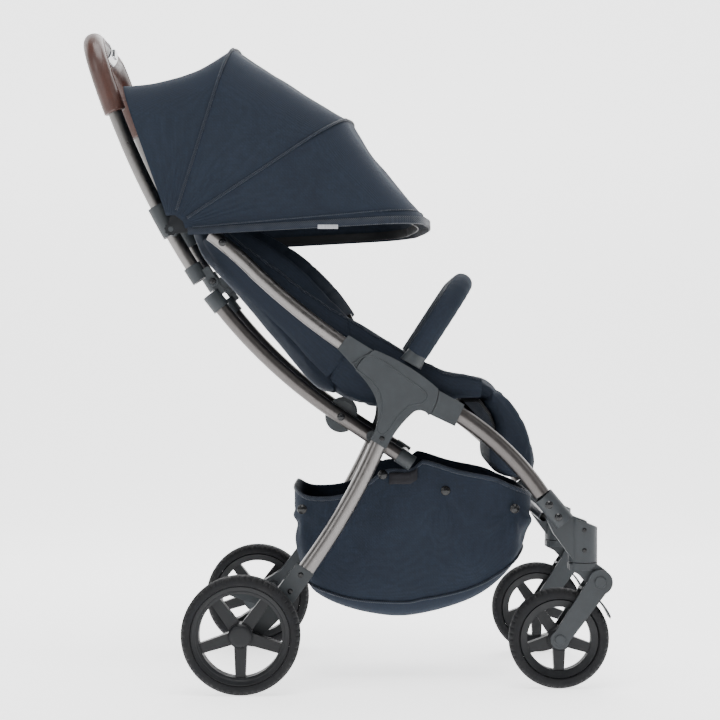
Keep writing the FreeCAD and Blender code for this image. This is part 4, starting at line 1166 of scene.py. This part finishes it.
# each body's screws on one side: x, distance from the middle, z and radius
SCREWS = {
    "rear_frame": ((-66, 194.9, 177, 4.2), (-82, 194.9, 152, 4.2), (-155.6, 194.9, 90, 7.5),
        (58, 196.1, 385, 4)),
    "front_frame": ((367.4, 190.2, 245, 3.6), (367.4, 190.2, 214, 3.6)),
    "lower_handle": ((-203, 160.8, 627, 5),)}
HUB_LINE = ((14, 500), (36, 512), (62, 502), (92, 480), (124, 456), (120, 440), (98, 434), (78, 414),
    (62, 392), (50, 400), (58, 428), (54, 456), (38, 476), (20, 490), (14, 500))


def screw(centre, side, radius):
    """A domed screw head with a round recess, facing outwards from the side frame."""
    profile = [(radius, -0.6), (radius, 0.3), (radius * 0.86, 1.3), (radius * 0.5, 1.7),
        (radius * 0.46, 0.7), (0.05, 0.7)]
    return lathe([(r, side * y) for r, y in profile], centre, 24)


def line_section(share, angle):
    return 0.7 * math.cos(angle), 0.95 * math.sin(angle)


def build_fittings():
    """Screw heads on the mouldings and the panel lines of the hub covers."""
    for body, places in SCREWS.items():
        heads = [screw((x, side * y, z), side, r) for _, side in SIDES for x, y, z, r in places]
        welded(piece(f"{body}_screws", joined(*heads), BLACK, body, crisp=35))
    panels = []
    for _, side in SIDES:
        path = [Vector((p.x, side * 196, p.y)) for p in smooth_line(HUB_LINE, 90)]
        panels.append(tube_mesh(path, (0, side, 0), line_section, 8, caps=False))
    piece("hub_panel_lines", joined(*panels), CHARCOAL, "rear_frame")


# ---------------------------------------------------------------- floor, light and camera

def build_stage():
    """A pale floor that curves up into a backdrop, the lamps and the camera."""
    reach, bend_start, bend, height = 18000, 1600, 1200, 6000
    profile = [(-reach, 0), (bend_start, 0)]
    for i in range(1, 13):
        angle = math.pi / 2 * i / 12
        profile.append((bend_start + bend * math.sin(angle), bend - bend * math.cos(angle)))
    profile.append((bend_start + bend, height))
    floor = raw_object("backdrop", grid([[(x, y, z) for x in (-reach, reach)] for y, z in profile]))
    mesh = floor.data
    for polygon in mesh.polygons:
        polygon.use_smooth = True
    shade = Shade("pale_floor", roughness=0.9)
    shade.colour(shade.ramp(shade.noise(2), (0.3, (0.87, 0.87, 0.875)), (0.7, (0.9, 0.9, 0.9))))
    shade.shader.inputs["Emission Color"].default_value = (1, 1, 1, 1)
    shade.shader.inputs["Emission Strength"].default_value = 1.75
    mesh.materials.append(shade.material)

    world = bpy.data.worlds.new("studio")
    bpy.context.scene.world = world
    world.use_nodes = True
    world.node_tree.nodes["Background"].inputs["Color"].default_value = (1, 1, 1, 1)
    world.node_tree.nodes["Background"].inputs["Strength"].default_value = 0.26
    lamps = (("top", (0.1, -0.6, 3), (0, 0, 0.4), 1.8, 84),
        ("left", (-2.2, -2.4, 1.9), (0, 0, 0.6), 1.2, 30),
        ("right", (2.6, -1.6, 1.6), (0, 0, 0.5), 1.2, 9),
        ("back", (0.4, 1.5, 2.4), (0, 0, 0.7), 1.6, 26))
    for name, place, aim, width, power in lamps:
        light = bpy.data.lights.new(name, "AREA")
        light.size = width
        light.energy = power
        lamp = bpy.data.objects.new(name, light)
        lamp.location = place
        lamp.rotation_euler = (Vector(aim) - Vector(place)).to_track_quat("-Z", "Y").to_euler()
        bpy.context.scene.collection.objects.link(lamp)

    camera = bpy.data.cameras.new("camera")
    camera.sensor_width = 36
    camera.lens = 86.7
    eye = bpy.data.objects.new("camera", camera)
    eye.location = (0.0244, -2.84, 0.505)
    eye.rotation_euler = (math.pi / 2, 0, 0)
    bpy.context.scene.collection.objects.link(eye)
    bpy.context.scene.camera = eye


repaint_frame()
build_canopy()
build_pads()
build_wings()
build_harness()
build_basket()
build_bumper()
build_grip()
build_wheels()
build_fittings()
build_stage()
bpy.context.view_layer.update()
